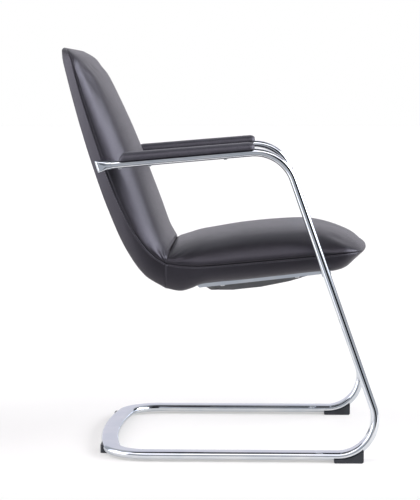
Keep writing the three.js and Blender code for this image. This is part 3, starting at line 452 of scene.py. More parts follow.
def walkPath(start, heading, legs):  # the points of a path made of straight runs and bends
    place, heading = Vector(start), Vector(heading)
    points = [place.copy()]
    for leg in legs:
        if leg[0] == "run":
            count = max(1, int(leg[1] / frameTube["runStep"]))
            for _ in range(count):
                place = place + heading * (leg[1] / count)
                points.append(place.copy())
        else:
            _, radius, angle, axis = leg
            count = max(2, int(angle / frameTube["turnStep"]))
            axis = Vector(axis)
            centre = place + axis.cross(heading) * radius
            turn = Matrix.Rotation(angle / count, 3, axis)
            for _ in range(count):
                place = centre + turn @ (place - centre)
                heading = turn @ heading
                points.append(place.copy())
    return points


def pathCurve(name, points):
    curve = bpy.data.curves.new(name, "CURVE")
    curve.dimensions = "3D"
    spline = curve.splines.new("POLY")
    spline.points.add(len(points) - 1)
    for slot, p in zip(spline.points, points):
        slot.co = ((p[0] + shiftX) * millimetre, p[1] * millimetre, p[2] * millimetre, 1)
    return addObject(name, curve)


def newTree(name, inputs):
    tree = bpy.data.node_groups.new(name, "GeometryNodeTree")
    tree.interface.new_socket("Geometry", in_out="INPUT", socket_type="NodeSocketGeometry")
    for label, kind, value in inputs:
        made = tree.interface.new_socket(label, in_out="INPUT", socket_type="NodeSocket" + kind)
        if value is not None:
            made.default_value = value
    tree.interface.new_socket("Geometry", in_out="OUTPUT", socket_type="NodeSocketGeometry")
    return tree, tree.nodes.new("NodeGroupInput").outputs, tree.nodes.new("NodeGroupOutput").inputs[0]


def addNode(tree, kind, settings=None, links=None):  # gives the new node's outputs
    made = tree.nodes.new(kind)
    for key, value in (settings or {}).items():
        setattr(made, key, value)
    for key, value in (links or {}).items():
        if isinstance(value, bpy.types.NodeSocket):
            tree.links.new(value, made.inputs[key])
        else:
            made.inputs[key].default_value = value
    return made.outputs


def endTree(tree, shape, given, out):  # every tree ends with real, smooth faces and their finish
    real = addNode(tree, "GeometryNodeRealizeInstances", None, {"Geometry": shape})
    smooth = addNode(tree, "GeometryNodeSetShadeSmooth", None, {"Geometry": real[0]})
    sockets = {"Geometry": smooth[0], "Material": given["Finish"]}
    dressed = addNode(tree, "GeometryNodeSetMaterial", None, sockets)
    tree.links.new(dressed[0], out)


def makeSweepTree():
    tree, given, out = newTree("swept tube", [
        ("Wide", "Float", 0.038), ("Thick", "Float", 0.016), ("Corner", "Float", 0.0079),
        ("Corner Steps", "Int", 12), ("Finish", "Material", None),
    ])
    section = addNode(tree, "GeometryNodeCurvePrimitiveQuadrilateral", None, {
        "Width": given["Wide"], "Height": given["Thick"],
    })
    rounded = addNode(tree, "GeometryNodeFilletCurve", {"mode": "POLY"}, {
        "Curve": section[0], "Count": given["Corner Steps"], "Radius": given["Corner"],
    })
    tube = addNode(tree, "GeometryNodeCurveToMesh", None, {
        "Curve": given["Geometry"], "Profile Curve": rounded[0], "Fill Caps": True,
    })
    endTree(tree, tube[0], given, out)
    return tree


def runTree(piece, tree, values):
    modifier = piece.modifiers.new(tree.name, "NODES")
    modifier.node_group = tree
    identifiers = {item.name: item.identifier for item in tree.interface.items_tree if item.in_out == "INPUT"}
    for label, value in values.items():
        modifier[identifiers[label]] = value
    return settle(piece)


sweepTree = makeSweepTree()


weldWithin = 0.000004


def weldPiece(piece):
    bm = bmesh.new()
    bm.from_mesh(piece.data)
    bmesh.ops.remove_doubles(bm, verts=bm.verts, dist=weldWithin)
    bmesh.ops.recalc_face_normals(bm, faces=bm.faces)
    for face in bm.faces:
        face.smooth = len(face.verts) == 4
    bm.to_mesh(piece.data)
    bm.free()
    return piece


def sweptTube(name, points, wide, thick, steps):
    values = {
        "Wide": wide * millimetre, "Thick": thick * millimetre,
        "Corner": (thick / 2 - frameTube["cornerEase"]) * millimetre, "Corner Steps": steps, "Finish": chrome,
    }
    return weldPiece(runTree(pathCurve(name, points), sweepTree, values))


def frameLegs():
    f = frameTube
    bow = asin((halfSpacing - f["cornerRadius"]) / (f["bowRadius"] - f["cornerRadius"]))
    footTurn = pi / 2 + legLean
    handTurn = pi / 2 - legLean + f["armSlope"]
    footTangent = f["footRadius"] * tan(footTurn / 2)
    handTangent = f["handRadius"] * tan(handTurn / 2)
    start, heading = (f["rearBarX"], 0, f["runnerHeight"]), (0, -1, 0)
    bends = [("bend", f["bowRadius"], bow, (0, 0, 1)), ("bend", f["cornerRadius"], pi / 2 - bow, (0, 0, 1))]
    corner = walkPath(start, heading, bends)[-1]
    legs = bends + [
        ("run", f["footCornerX"] - footTangent - corner.x),
        ("bend", f["footRadius"], footTurn, (0, -1, 0)),
        ("run", legLength - footTangent - handTangent),
        ("bend", f["handRadius"], handTurn, (0, -1, 0)),
        ("run", armForward / cos(f["armSlope"]) - handTangent),
    ]
    return walkPath(start, heading, legs)


tubeSection = frameTube["wide"], frameTube["thick"], frameTube["cornerSteps"]
rightHalf = sweptTube("frame_tube_right", frameLegs(), *tubeSection)
leftHalf = mirrorPiece(rightHalf, "frame_tube_left")
finishPiece(rightHalf, chrome, "chrome", "frame_half_right")
finishPiece(leftHalf, chrome, "chrome", "frame_half_left")

crossReach = halfSpacing - frameTube["wide"] / 2 - fitGap
crossStations = np.linspace(-crossReach, crossReach, seatSupport["tubeStations"])
crossPath = [(crossTubeX, y, seatSupport["tubeZ"]) for y in crossStations]
crossSection = seatSupport["tubeDiameter"], seatSupport["tubeDiameter"], seatSupport["tubeCornerSteps"]
crossTube = sweptTube("cross_tube", crossPath, *crossSection)
finishPiece(crossTube, chrome, "chrome", "seat_cross_tube")

for side in ("right", "left"):
    rail = softenedNode(f"seat_rail_{side}", f"seat_rail_bar_{side}", seatSupport["railEdge"])
    finishPiece(rail, chrome, "chrome", f"seat_rail_{side}")
print("chromed tubes made")

# Castings between the arms and the back

casting = {
    "length": 31.5, "collar": 1.0, "up": 11, "down": 13.2, "lean": tan(radians(13.4)), "sideInset": 0.3,
    "bodyWide": 484, "rows": 46, "smoothing": 3, "cornerSteps": 9, "edge": 1.1,
}


def castingRing(share):
    # Each row: share of the length, lowest and highest y, lowest and highest z, corner radius,
    # share of the lean
    half = frameTube["wide"] / 2 + casting["collar"]
    high = frameTube["thick"] / 2 + casting["collar"]
    inner = halfSpacing - casting["bodyWide"] / 2 - casting["sideInset"]
    rows = np.array([
        [0.0, -half, half, -high, high, high * 0.92, 0.0],
        [0.2, -half, half, -high, high, high * 0.92, 0.15],
        [0.34, -half, half + 1.6, -high - 0.7, high + 0.3, high * 0.8, 0.3],
        [0.52, -half - 0.2, inner, -high - 1.9, high + 0.8, high * 0.6, 0.5],
        [0.74, -half, inner, -high - 3.3, high + 1.5, high * 0.5, 0.8],
        [0.9, -half + 1.4, inner, -casting["down"] + 0.25, casting["up"] - 0.2, high * 0.45, 1.0],
        [1.0, -half + 7.0, inner, -casting["down"], casting["up"], high * 0.4, 1.0],
    ])
    return [np.interp(share, rows[:, 0], rows[:, k]) for k in range(1, 7)]


def makeCasting():
    rows = []
    shares = np.concatenate([[0], np.linspace(0.001, 1, casting["rows"])])
    table = np.array([castingRing(s) for s in shares])
    for _ in range(casting["smoothing"]):  # the flare is drawn in one soft line
        table[1:-1] = (table[:-2] + 2 * table[1:-1] + table[2:]) / 4
    for share, (yLow, yHigh, zLow, zHigh, radius, lean) in zip(shares, table):
        x = -fitGap - share * (casting["length"] - fitGap)
        ring = []
        for corner, (y, z) in enumerate([(yHigh, zHigh), (yLow, zHigh), (yLow, zLow), (yHigh, zLow)]):
            centreY = y - np.sign(y - (yLow + yHigh) / 2) * radius
            centreZ = z - np.sign(z - (zLow + zHigh) / 2) * radius
            for k in range(casting["cornerSteps"]):
                angle = (corner + k / (casting["cornerSteps"] - 1)) * pi / 2
                height = centreZ + radius * sin(angle)
                leaned = x - casting["lean"] * lean * height
                ring.append(onArm(leaned, centreY + radius * cos(angle), height))
        rows.append(ring)
    return easeEdges(loftRings("arm_casting_body_right", rows), casting["edge"], 3, 50)


castingRight = makeCasting()
castingLeft = mirrorPiece(castingRight, "arm_casting_body_left")
finishPiece(castingRight, chrome, "chrome", "arm_casting_right")
finishPiece(castingLeft, chrome, "chrome", "arm_casting_left")
print("castings made")

# Seat and back: the curves of the side profile, as shares of the reach and the rise.
# Each row has the outer face, the seam and the crown.

profile = {
    "reach": 650, "rise": 858, "bodyWide": 484, "backTopWide": 452, "creaseWide": 456,
    "backTopRadius": 58, "noseRadius": 62, "noseBow": 14, "seamStep": 1.6,
    "onRails": ((3, 0.955), (4, 0.66), (5, 0.345), (6, 0.07)),
}
backRows = [
    [-0.5165, 1.0030, -0.4980, 0.9965, -0.4920, 0.9990],
    [-0.5090, 0.9740, -0.4800, 0.9750, -0.4375, 0.9760],
    [-0.4975, 0.9410, -0.4670, 0.9425, -0.4084, 0.9415],
    [-0.4747, 0.8740, -0.4410, 0.8740, -0.3609, 0.8735],
    [-0.4430, 0.7880, -0.4045, 0.7880, -0.3088, 0.7880],
    [-0.4065, 0.6995, -0.3650, 0.6995, -0.2623, 0.7000],
    [-0.3638, 0.6085, -0.3175, 0.6115, -0.2180, 0.6120],
    [-0.3075, 0.5116, -0.2640, 0.5370, -0.1838, 0.5395],
    [-0.2467, 0.4455, -0.2175, 0.4950, -0.1685, 0.5200],
    [-0.1790, 0.4124, -0.1785, 0.4757, -0.1627, 0.5118],
]
seatRows = [
    [-0.1784, 0.4124, -0.1779, 0.4757, -0.1621, 0.5118],
    [-0.1300, 0.4065, -0.1300, 0.4705, -0.1210, 0.5217],
    [-0.0955, 0.4134, -0.0845, 0.4693, -0.0770, 0.5306],
    [-0.0600, 0.4262, -0.0385, 0.4708, -0.0280, 0.5370],
    [0.0615, 0.4360, 0.0615, 0.4778, 0.0690, 0.5494],
    [0.1925, 0.4468, 0.1925, 0.4872, 0.1925, 0.5586],
    [0.3060, 0.4565, 0.2955, 0.4945, 0.2845, 0.5605],
    [0.3640, 0.4580, 0.3660, 0.4998, 0.3660, 0.5525],
    [0.4105, 0.4680, 0.4125, 0.5025, 0.4125, 0.5433],
    [0.4495, 0.4890, 0.4480, 0.5035, 0.4465, 0.5300],
    [0.4790, 0.5028, 0.4808, 0.5047, 0.4803, 0.5067],
]


def curvePoint(points, u):  # centripetal Catmull-Rom through the profile's points
    last = len(points) - 1
    at = min(max(u, 0), 1) * last
    i = min(int(floor(at)), last - 1)
    t = at - i
    p1, p2 = points[i], points[i + 1]
    p0 = points[i - 1] if i > 0 else 2 * points[0] - points[1]
    p3 = points[i + 2] if i + 2 <= last else 2 * points[last] - points[last - 1]
    d0, d1, d2 = (max(hypot(*(b - a)), 1e-8) ** 0.5 for a, b in ((p0, p1), (p1, p2), (p2, p3)))
    m1 = ((p1 - p0) / d0 - (p2 - p0) / (d0 + d1) + (p2 - p1) / d1) * d1
    m2 = ((p2 - p1) / d1 - (p3 - p1) / (d1 + d2) + (p3 - p2) / d2) * d1
    return p1 + m1 * t + (-3 * p1 + 3 * p2 - 2 * m1 - m2) * t * t + (2 * p1 - 2 * p2 + m1 + m2) * t ** 3


def profileCurves(rows):
    scale = np.array([profile["reach"], profile["rise"]])
    return [np.array([np.array(row[k:k + 2]) * scale for row in rows]) for k in (0, 2, 4)]


backCurves, seatCurves = profileCurves(backRows), profileCurves(seatRows)
undersideZ = seatSupport["railThick"] / 2 - seatSupport["railRecess"]
for row, share in profile["onRails"]:  # rows of the seat's outer face that lie along the rails
    seatCurves[0][row] = onSeat(-seatSupport["railLength"] * share, undersideZ)


def roundedHalf(half, radius, distance):
    if distance >= radius:
        return half
    return half - radius + sqrt(max(radius ** 2 - (radius - max(distance, 0)) ** 2, 0))


def backHalf(u):
    down = backCurves[0][0][1] - curvePoint(backCurves[0], u)[1]
    straight = lerp(profile["backTopWide"], profile["creaseWide"], u) / 2
    widest = straight + (profile["bodyWide"] / 2 - straight) * sin(pi * min(max(u, 0), 1))
    return roundedHalf(widest, profile["backTopRadius"], down)


def seatHalf(u):
    ahead = seatCurves[1][-1][0] - curvePoint(seatCurves[1], u)[0]
    widest = lerp(profile["creaseWide"], profile["bodyWide"], float(smoothstep(u, 0, 0.5))) / 2
    return roundedHalf(widest, profile["noseRadius"], ahead)


def noBow(u, v):
    return 0 * v


def seatBow(u, v):
    return profile["noseBow"] * float(smoothstep(u, 0.55, 1)) * v ** 2


# Stations along the body, closest together at its rounded end, and across it, closest at its sides
def easedShares(count, slow):
    s = np.linspace(0, 1, count)
    return slow * s + (1 - slow) * s * s


def acrossShares(count, power):
    s = np.linspace(-1, 1, count)
    return np.sign(s) * (1 - (1 - np.abs(s)) ** power)


backCushion = {
    "rows": 170, "columns": 101, "round": (2.6, 2.9), "creaseAt": 1, "endRoll": 16, "endDrop": 5,
    "start": 2.0, "sag": 0.5, "gather": 1.5, "folds": 0.9, "slow": 0.3,
}
seatCushion = {
    "rows": 170, "columns": 101, "round": (3.2, 2.5), "creaseAt": 0, "endRoll": 16, "endDrop": 4,
    "start": 2.2, "sag": 0.4, "gather": 1.0, "folds": 0.5, "slow": 0.3,
}
rimRoll = {
    "tuck": 1.9, "tuckDepth": 2.4, "bulge": 0.4, "bulgeAt": 12, "bulgeWide": 8, "startFade": 40,
    "sidePower": 2.8, "smoothing": 4, "inset": 3.8, "drop": 1.5,
}
clothRun = {
    "rows": 85, "columns": 61, "mass": 0.3, "stretch": 15, "shear": 8, "bend": 0.6, "grow": 0.001,
    "pressure": 4, "frames": 20, "quality": 6, "cap": 3.5, "fade": 45,
}
unevenness = {
    "wave": (47, 0.7, 61, 1.9), "slant": (0.6, 29, 83, 2.6), "cross": (0.4, 71, 37), "flank": (4, 50),
    "foldLength": 3.4, "foldBend": (1.3, 52, 0.4), "foldFade": 17, "foldStart": (3, 9), "foldSides": (2, 30),
    "fanRays": 19, "fanBend": (1.6, 23), "fanFade": 34, "fanStart": (2, 11),
}


def rise(v, wide, high):
    return np.maximum(1 - np.abs(v) ** wide, 0) ** (1 / high)


def crownLengths(curve, shares):  # distance of each station from the crease end
    points = np.array([curvePoint(curve, u) for u in shares])
    return np.concatenate([[0], np.cumsum(np.hypot(*np.diff(points, axis=0).T))])


def cushionGrid(curves, halfAt, bowAt, shares, v, settings, rolled=True):
    lengths = crownLengths(curves[1], shares)
    fromCrease = lengths if settings["creaseAt"] == 0 else lengths[-1] - lengths
    rows = []
    for u, away in zip(shares, fromCrease):
        seam, crown = curvePoint(curves[1], u), curvePoint(curves[2], u)
        way = crown - seam
        full = hypot(*way)
        way = way / max(full, 1e-6)
        dropped = settings["endDrop"] * rollOff(away, settings["endRoll"])
        full -= dropped + settings["start"] * min(away / rimRoll["startFade"], 1)
        height = max(full - profile["seamStep"], 0) * rise(v, *settings["round"]) + profile["seamStep"]
        half = v * halfAt(u)
        if rolled:
            roll = rimRoll["bulge"] * np.exp(-((height - rimRoll["bulgeAt"]) / rimRoll["bulgeWide"]) ** 2)
            tuck = rimRoll["tuck"] * np.exp(-(height - profile["seamStep"]) / rimRoll["tuckDepth"])
            half = half + np.sign(v) * (roll - tuck)
        x = seam[0] + way[0] * height - bowAt(u, v)
        z = seam[1] + way[1] * height
        rows.append(np.stack([x, half, z], -1))
    return np.array(rows)


def seamGrid(curves, halfAt, bowAt, shares, v):  # the same stations at the seam, drawn in and down
    inset, drop = rimRoll["inset"], rimRoll["drop"]
    rows = []
    for u in shares:
        seam, crown = curvePoint(curves[1], u), curvePoint(curves[2], u)
        way = (crown - seam) / max(hypot(*(crown - seam)), 1e-6)
        x = seam[0] - way[0] * drop - bowAt(u, v)
        z = seam[1] - way[1] * drop
        rows.append(np.stack([x + 0 * v, v * (halfAt(u) - inset), z + 0 * v], -1))
    return np.array(rows)


def smoothGrid(grid, passes):
    for _ in range(passes):
        inner = (grid[:-2] + 2 * grid[1:-1] + grid[2:]) / 4
        grid = np.concatenate([grid[:1], inner, grid[-1:]])
    return grid


def gridNormals(grid):
    along, across = np.gradient(grid, axis=0), np.gradient(grid, axis=1)
    normal = np.cross(along, across)
    normal /= np.maximum(np.linalg.norm(normal, axis=-1, keepdims=True), 1e-9)
    middle = normal[grid.shape[0] // 2, grid.shape[1] // 2]
    return normal if middle[0] + middle[2] > 0 else -normal


def clothMoves(name, curves, halfAt, bowAt, shares, v, settings):
    # A coarse sheet of the cushion's leather, held at its seam, is blown up, and its moves are read off
    c = clothRun
    coarseU = np.interp(np.linspace(0, 1, c["rows"]), np.linspace(0, 1, len(shares)), shares)
    coarseV = np.sin(np.linspace(-1, 1, c["columns"]) * pi / 2 * 0.999)
    rest = smoothGrid(cushionGrid(curves, halfAt, bowAt, coarseU, coarseV, settings, False), 2)
    sheet = makeObject(name, rest, gridFaces(c["rows"], c["columns"]))
    rim = sheet.vertex_groups.new(name="seam")
    rim.add(rimOf(c["rows"], c["columns"]), 1.0, "REPLACE")
    cloth = sheet.modifiers.new("Cloth", "CLOTH")
    cloth.settings.quality = c["quality"]
    cloth.settings.mass = c["mass"]
    cloth.settings.tension_stiffness = cloth.settings.compression_stiffness = c["stretch"]
    cloth.settings.shear_stiffness = c["shear"]
    cloth.settings.bending_stiffness = c["bend"]
    cloth.settings.shrink_min = -c["grow"]
    cloth.settings.use_pressure = True
    cloth.settings.uniform_pressure_force = c["pressure"]
    cloth.settings.vertex_group_mass = "seam"
    cloth.settings.effector_weights.gravity = 0
    cloth.collision_settings.use_collision = False
    cloth.point_cache.frame_start, cloth.point_cache.frame_end = 1, c["frames"]
    scene = bpy.context.scene
    for step in range(1, c["frames"] + 1):
        scene.frame_set(step)
    blown = sheet.evaluated_get(bpy.context.evaluated_depsgraph_get()).to_mesh()
    points = np.empty(len(blown.vertices) * 3)
    blown.vertices.foreach_get("co", points)
    points = points.reshape(rest.shape) / millimetre - (shiftX, 0, 0)
    scene.frame_set(1)
    bpy.data.objects.remove(sheet)
    moves = points - rest
    length = np.linalg.norm(moves, axis=-1, keepdims=True)
    print(name, "moved", round(float(np.median(length)), 2), "at most", round(float(length.max()), 2))
    moves *= np.minimum(1, c["cap"] / np.maximum(length, 1e-6))
    ends = crownLengths(curves[1], coarseU)
    ends = np.minimum(ends, ends[-1] - ends)
    moves *= smoothstep(ends, 0, c["fade"])[:, None, None]
    moves = smoothGrid(smoothGrid(moves, 6).transpose(1, 0, 2), 3).transpose(1, 0, 2)
    along = [[np.interp(shares, coarseU, moves[:, j, k]) for k in range(3)] for j in range(c["columns"])]
    along = np.array(along)
    fine = [[np.interp(v, coarseV, along[:, k, i]) for k in range(3)] for i in range(len(shares))]
    return np.array(fine).transpose(0, 2, 1)


def sculptedMoves(curves, shares, grid, settings):
    # Soft unevenness of the foam, folds along the crease, and leather gathered at the crease's two ends
    m = unevenness
    lengths = crownLengths(curves[1], shares)
    away = (lengths if settings["creaseAt"] == 0 else lengths[-1] - lengths)[:, None]
    y = grid[..., 1]
    side = np.abs(y).max(1, keepdims=True) - np.abs(y)
    rimwards = np.linalg.norm(np.diff(grid, axis=1), axis=-1)
    left = np.concatenate([np.zeros((len(shares), 1)), np.cumsum(rimwards, axis=1)], axis=1)
    flank = np.minimum(left, left[:, -1:] - left)
    alongLength, alongShift, sideLength, sideShift = m["wave"]
    uneven = np.sin(away / alongLength + alongShift) * np.sin(y / sideLength + sideShift)
    high, alongLength, sideLength, shift = m["slant"]
    uneven = uneven + high * np.sin(away / alongLength + y / sideLength + shift)
    high, alongLength, sideLength = m["cross"]
    uneven = uneven + high * np.sin(away / alongLength - y / sideLength)
    uneven = uneven * smoothstep(flank, *m["flank"]) * settings["sag"] * 0.5
    bend, bendLength, shift = m["foldBend"]
    wave = np.sin(away / m["foldLength"] + bend * np.sin(y / bendLength + shift))
    wave = wave * np.exp(-away / m["foldFade"]) * smoothstep(away, *m["foldStart"])
    folds = wave * smoothstep(side, *m["foldSides"]) * settings["folds"]
    reach = np.hypot(away, flank)
    turn = np.arctan2(flank, away + 1e-6)
    bend, bendLength = m["fanBend"]
    fan = np.cos(turn * m["fanRays"] + np.sin(reach / bendLength) * bend)
    fan = fan * np.exp(-reach / m["fanFade"]) * smoothstep(reach, *m["fanStart"])
    return uneven + folds + fan * settings["gather"]


backShares = easedShares(backCushion["rows"], backCushion["slow"])
seatShares = 1 - easedShares(seatCushion["rows"], seatCushion["slow"])[::-1]


def makeCushion(name, curves, halfAt, bowAt, shares, settings):
    v = acrossShares(settings["columns"], rimRoll["sidePower"])
    top = smoothGrid(cushionGrid(curves, halfAt, bowAt, shares, v, settings), rimRoll["smoothing"])
    top[1:-1, 1:-1] += clothMoves(name + "_cloth", curves, halfAt, bowAt, shares, v, settings)[1:-1, 1:-1]
    top += gridNormals(top) * sculptedMoves(curves, shares, top, settings)[..., None]
    return closedShell(name, top, seamGrid(curves, halfAt, bowAt, shares, v))


backPiece = makeCushion("back_cushion", backCurves, backHalf, noBow, backShares, backCushion)
seatPiece = makeCushion("seat_cushion", seatCurves, seatHalf, seatBow, seatShares, seatCushion)

# Outer panels: how far in from the side their rounded edge starts, and how square it is, first at
# the far end and then at the crease, and the groove along the seam
panelEdge = {
    "back": ((20, 1.12), (24, 2.2)), "seat": ((30, 2.4), (24, 2.2)), "blendOver": 0.35,
    "groove": 1.3, "grooveDeep": 1.8, "grooveRound": 1.6, "topRound": 11, "topShare": 0.75,
    "columns": 131, "sidePower": 3.4,
}


def panelSection(distance, depth, edge, power):  # share of the way to the seam, and how far in the side is
    t = np.clip(1 - distance / edge, 0, 1)
    share = 1 - np.maximum(1 - t ** power, 0) ** (1 / power)
    below = (1 - share) * depth
    groove = np.maximum(1 - below / panelEdge["grooveDeep"], 0) ** panelEdge["grooveRound"]
    return share, panelEdge["groove"] * groove


def panelShape(kind, u):
    away = u if kind == "seat" else 1 - u
    blend = float(smoothstep(away, 0.0, panelEdge["blendOver"]))
    (farEdge, farPower), (edge, power) = panelEdge[kind]
    return lerp(edge, farEdge, blend), lerp(power, farPower, blend)


def makeOuterPad(name, kind, curves, halfAt, bowAt, shares):
    v = acrossShares(panelEdge["columns"], panelEdge["sidePower"])
    top, low = [], []
    for u in shares:
        outer, seam = curvePoint(curves[0], u), curvePoint(curves[1], u)
        half, bow = halfAt(u), bowAt(u, v)
        if kind == "back":  # the top of the back rolls over
            fromTop = curves[0][0][1] - outer[1]
            outer = lerp(outer, seam, panelEdge["topShare"] * rollOff(fromTop, panelEdge["topRound"]))
        depth = hypot(*(seam - outer))
        share, inset = panelSection((1 - np.abs(v)) * half, depth, *panelShape(kind, u))
        side = np.sign(v) * (np.abs(v) * half - inset)
        top.append(np.stack([seam[0] - bow, v * (half - panelEdge["groove"]), seam[1] + 0 * v], -1))
        x, z = (outer[k] + (seam[k] - outer[k]) * share for k in (0, 1))
        low.append(np.stack([x - bow, side, z], -1))
    return closedShell(name, np.array(top), np.array(low))


backPad = makeOuterPad("back_panel", "back", backCurves, backHalf, noBow, backShares)
seatPad = makeOuterPad("seat_panel", "seat", seatCurves, seatHalf, seatBow, seatShares)

# Stitches along the seams: small threads set along a path by geometry nodes

stitches = {
    "spacing": 5.8, "length": 2.6, "thick": 1.0, "vary": (0.86, 1.12), "seed": 7, "below": 3.4, "lift": 0.2,
    "segments": 6, "rings": 4, "stations": 120, "seatSpan": (0.012, 0.93), "backSpan": (0.03, 0.985),
}


def makeStitchTree():
    tree, given, out = newTree("stitch row", [
        ("Spacing", "Float", 0.0056), ("Length", "Float", 0.003), ("Thickness", "Float", 0.0008),
        ("Seed", "Int", 7), ("Finish", "Material", None),
    ])
    even = addNode(tree, "GeometryNodeResampleCurve", {"mode": "LENGTH"}, {
        "Curve": given["Geometry"], "Length": given["Spacing"],
    })
    thread = addNode(tree, "GeometryNodeMeshUVSphere", None, {
        "Segments": stitches["segments"], "Rings": stitches["rings"], "Radius": 0.5,
    })
    size = addNode(tree, "ShaderNodeCombineXYZ", None, {
        0: given["Length"], 1: given["Thickness"], 2: given["Thickness"],
    })
    tangent = addNode(tree, "GeometryNodeInputTangent")[0]
    facing = addNode(tree, "FunctionNodeAlignRotationToVector", {"axis": "X"}, {"Vector": tangent})
    least, most = stitches["vary"]
    vary = addNode(tree, "FunctionNodeRandomValue", {"data_type": "FLOAT"}, {
        "Seed": given["Seed"], 2: least, 3: most,
    })
    scaled = addNode(tree, "ShaderNodeVectorMath", {"operation": "SCALE"}, {
        0: size[0], "Scale": vary[1],
    })
    placed = addNode(tree, "GeometryNodeInstanceOnPoints", None, {
        "Points": even[0], "Instance": thread[0],
        "Rotation": facing[0], "Scale": scaled[0],
    })
    endTree(tree, placed[0], given, out)
    return tree


stitchTree = makeStitchTree()


def seamPath(kind, curves, halfAt, bowAt):  # a line on the panel's side, below the seam
    points = []
    for u in np.linspace(*stitches[kind + "Span"], stitches["stations"]):
        outer, seam = curvePoint(curves[0], u), curvePoint(curves[1], u)
        depth = hypot(*(seam - outer))
        edge, power = panelShape(kind, u)
        share = 1 - min(stitches["below"] / depth, 0.9)
        t = max(1 - (1 - share) ** power, 0) ** (1 / power)
        side = halfAt(u) - (1 - t) * edge + stitches["lift"]
        x, z = seam + (outer - seam) * (1 - share)
        points.append((x - bowAt(u, np.ones(1))[0], -side, z))
    return points


def stitchRow(name, points):
    values = {
        "Spacing": stitches["spacing"] * millimetre, "Length": stitches["length"] * millimetre,
        "Thickness": stitches["thick"] * millimetre, "Seed": stitches["seed"], "Finish": threadGrey,
    }
    right = runTree(pathCurve(name + "_right", points), stitchTree, values)
    for row in (right, mirrorPiece(right, name + "_left")):
        finishPiece(row, threadGrey, "leather")


stitchRow("seat_stitches", seamPath("seat", seatCurves, seatHalf, seatBow))
stitchRow("back_stitches", seamPath("back", backCurves, backHalf, noBow))
print("stitches made")
finishPiece(backPiece, leather, "leather", "back_cushion_cover", "back_foam")
finishPiece(seatPiece, leather, "leather", "seat_cushion_cover", "seat_foam")
finishPiece(backPad, leather, "leather", "back_outer_pad")
finishPiece(seatPad, leather, "leather", "seat_outer_pad")
print("seat and back made")

# Arm pads

armPad = {
    "start": 16, "length": 279, "wide": 47, "thick": 15.5, "noseThick": 13.5, "lip": 2.2, "groove": 33.4,
    "lean": 7, "leanFade": 26, "nose": 13, "rear": 12, "nosePinch": 0.5, "rearPinch": 0.45, "sidePinch": 0.8,
    "sideRound": 2 / 2.7, "topRound": 2 / 2.3, "wall": 2, "around": 44,
}


def padRing(share):
    a = armPad
    x = a["start"] + a["length"] * share
    fromRear, fromNose = x - a["start"], a["start"] + a["length"] - x
    pinch = a["nosePinch"] * rollOff(fromNose, a["nose"])
    pinch += a["rearPinch"] * rollOff(fromRear, a["rear"])
    half = a["wide"] / 2 * (1 - pinch * a["sidePinch"])
    top = lerp(a["thick"], a["noseThick"], share) * (1 - pinch)
    ring = []
    for k in range(a["around"]):
        angle = pi * k / (a["around"] - 1)
        c, s = cos(angle), sin(angle)
        y = half * np.sign(c) * abs(c) ** a["sideRound"]
        z = -a["lip"] + (top + a["lip"]) * abs(s) ** a["topRound"]
        ring.append((y, z))
    groove = min(a["groove"] / 2, half - a["wall"])
    under = [(-groove, -a["lip"]), (-groove, fitGap), (groove, fitGap), (groove, -a["lip"])]
    tilt = a["lean"] * max(0, 1 - fromRear / a["leanFade"]) / a["thick"]
    return [onArm(x + tilt * z, y, frameTube["thick"] / 2 + z) for y, z in ring + under]


# Stations along the pad, closest together at its two ends
padShares = np.concatenate([np.linspace(0, 0.06, 24), np.linspace(0.07, 0.93, 60), np.linspace(0.935, 1, 30)])
padRight = loftRings("arm_pad_cover_right", [padRing(s) for s in padShares])
padLeft = mirrorPiece(padRight, "arm_pad_cover_left")
for piece, side in ((padRight, "right"), (padLeft, "left")):
    finishPiece(piece, padLeather, "arm_pad_leather", f"arm_pad_{side}")
print("arm pads made")

# Glides and bottom cover: eased copies of their solids

glideEdge = 0.7
coverEdge = 0.8
for end in ("front", "rear"):
    for side in ("right", "left"):
        glide = softenedNode(f"{end}_glide_{side}", f"{end}_foot_{side}", glideEdge)
        finishPiece(glide, blackPlastic, "black_plastic", f"{end}_glide_{side}")
cover = softenedNode("bottom_cover", "belly_cover", coverEdge, 2, 35)
finishPiece(cover, blackPlastic, "black_plastic", "bottom_cover")

# The nodes that stay as they are

finishOf = {
    "chrome": chrome, "zinc_steel": zincSteel, "black_plastic": blackPlastic,
    "arm_pad_leather": padLeather, "leather": leather, "plywood": plywoodFinish, "foam": foamFinish,
}
slotOf = {entry["node"]: entry["material_slot"] for entry in frame["record"]["subparts"]}
for name, node in frame["nodes"].items():
    if not node.hide_render:
        node.data.materials.clear()
        node.data.materials.append(finishOf[slotOf[name]])

# Studio


floorLook = {
    "corners": [(-1.7, -0.56, 0), (1.9, -0.56, 0), (9, 30, 0), (-9, 30, 0)], "rough": 0.6, "glow": 0.35,
    "dark": (0.55, 0.53, 0.495), "light": (0.58, 0.56, 0.525),
}


def makeFloor():
    finish = Finish("pale studio floor", Roughness=floorLook["rough"], IOR=1.4)
    finish.feed("Emission Color", (1, 1, 1))
    finish.feed("Emission Strength", floorLook["glow"])
    place = finish.place()
    finish.toned(finish.noise(place, 0.8, 3, 0.5).between(0.3, 0.7), floorLook)
    finish.feed("Normal", finish.bump(finish.noise(place, 900, 2, 0.5), 0.0002, 0.15))
    mesh = bpy.data.meshes.new("studio_floor")
    mesh.from_pydata(floorLook["corners"], [], [(0, 1, 2, 3)])
    mesh.materials.append(finish.material)
    floor = addObject("studio_floor", mesh)


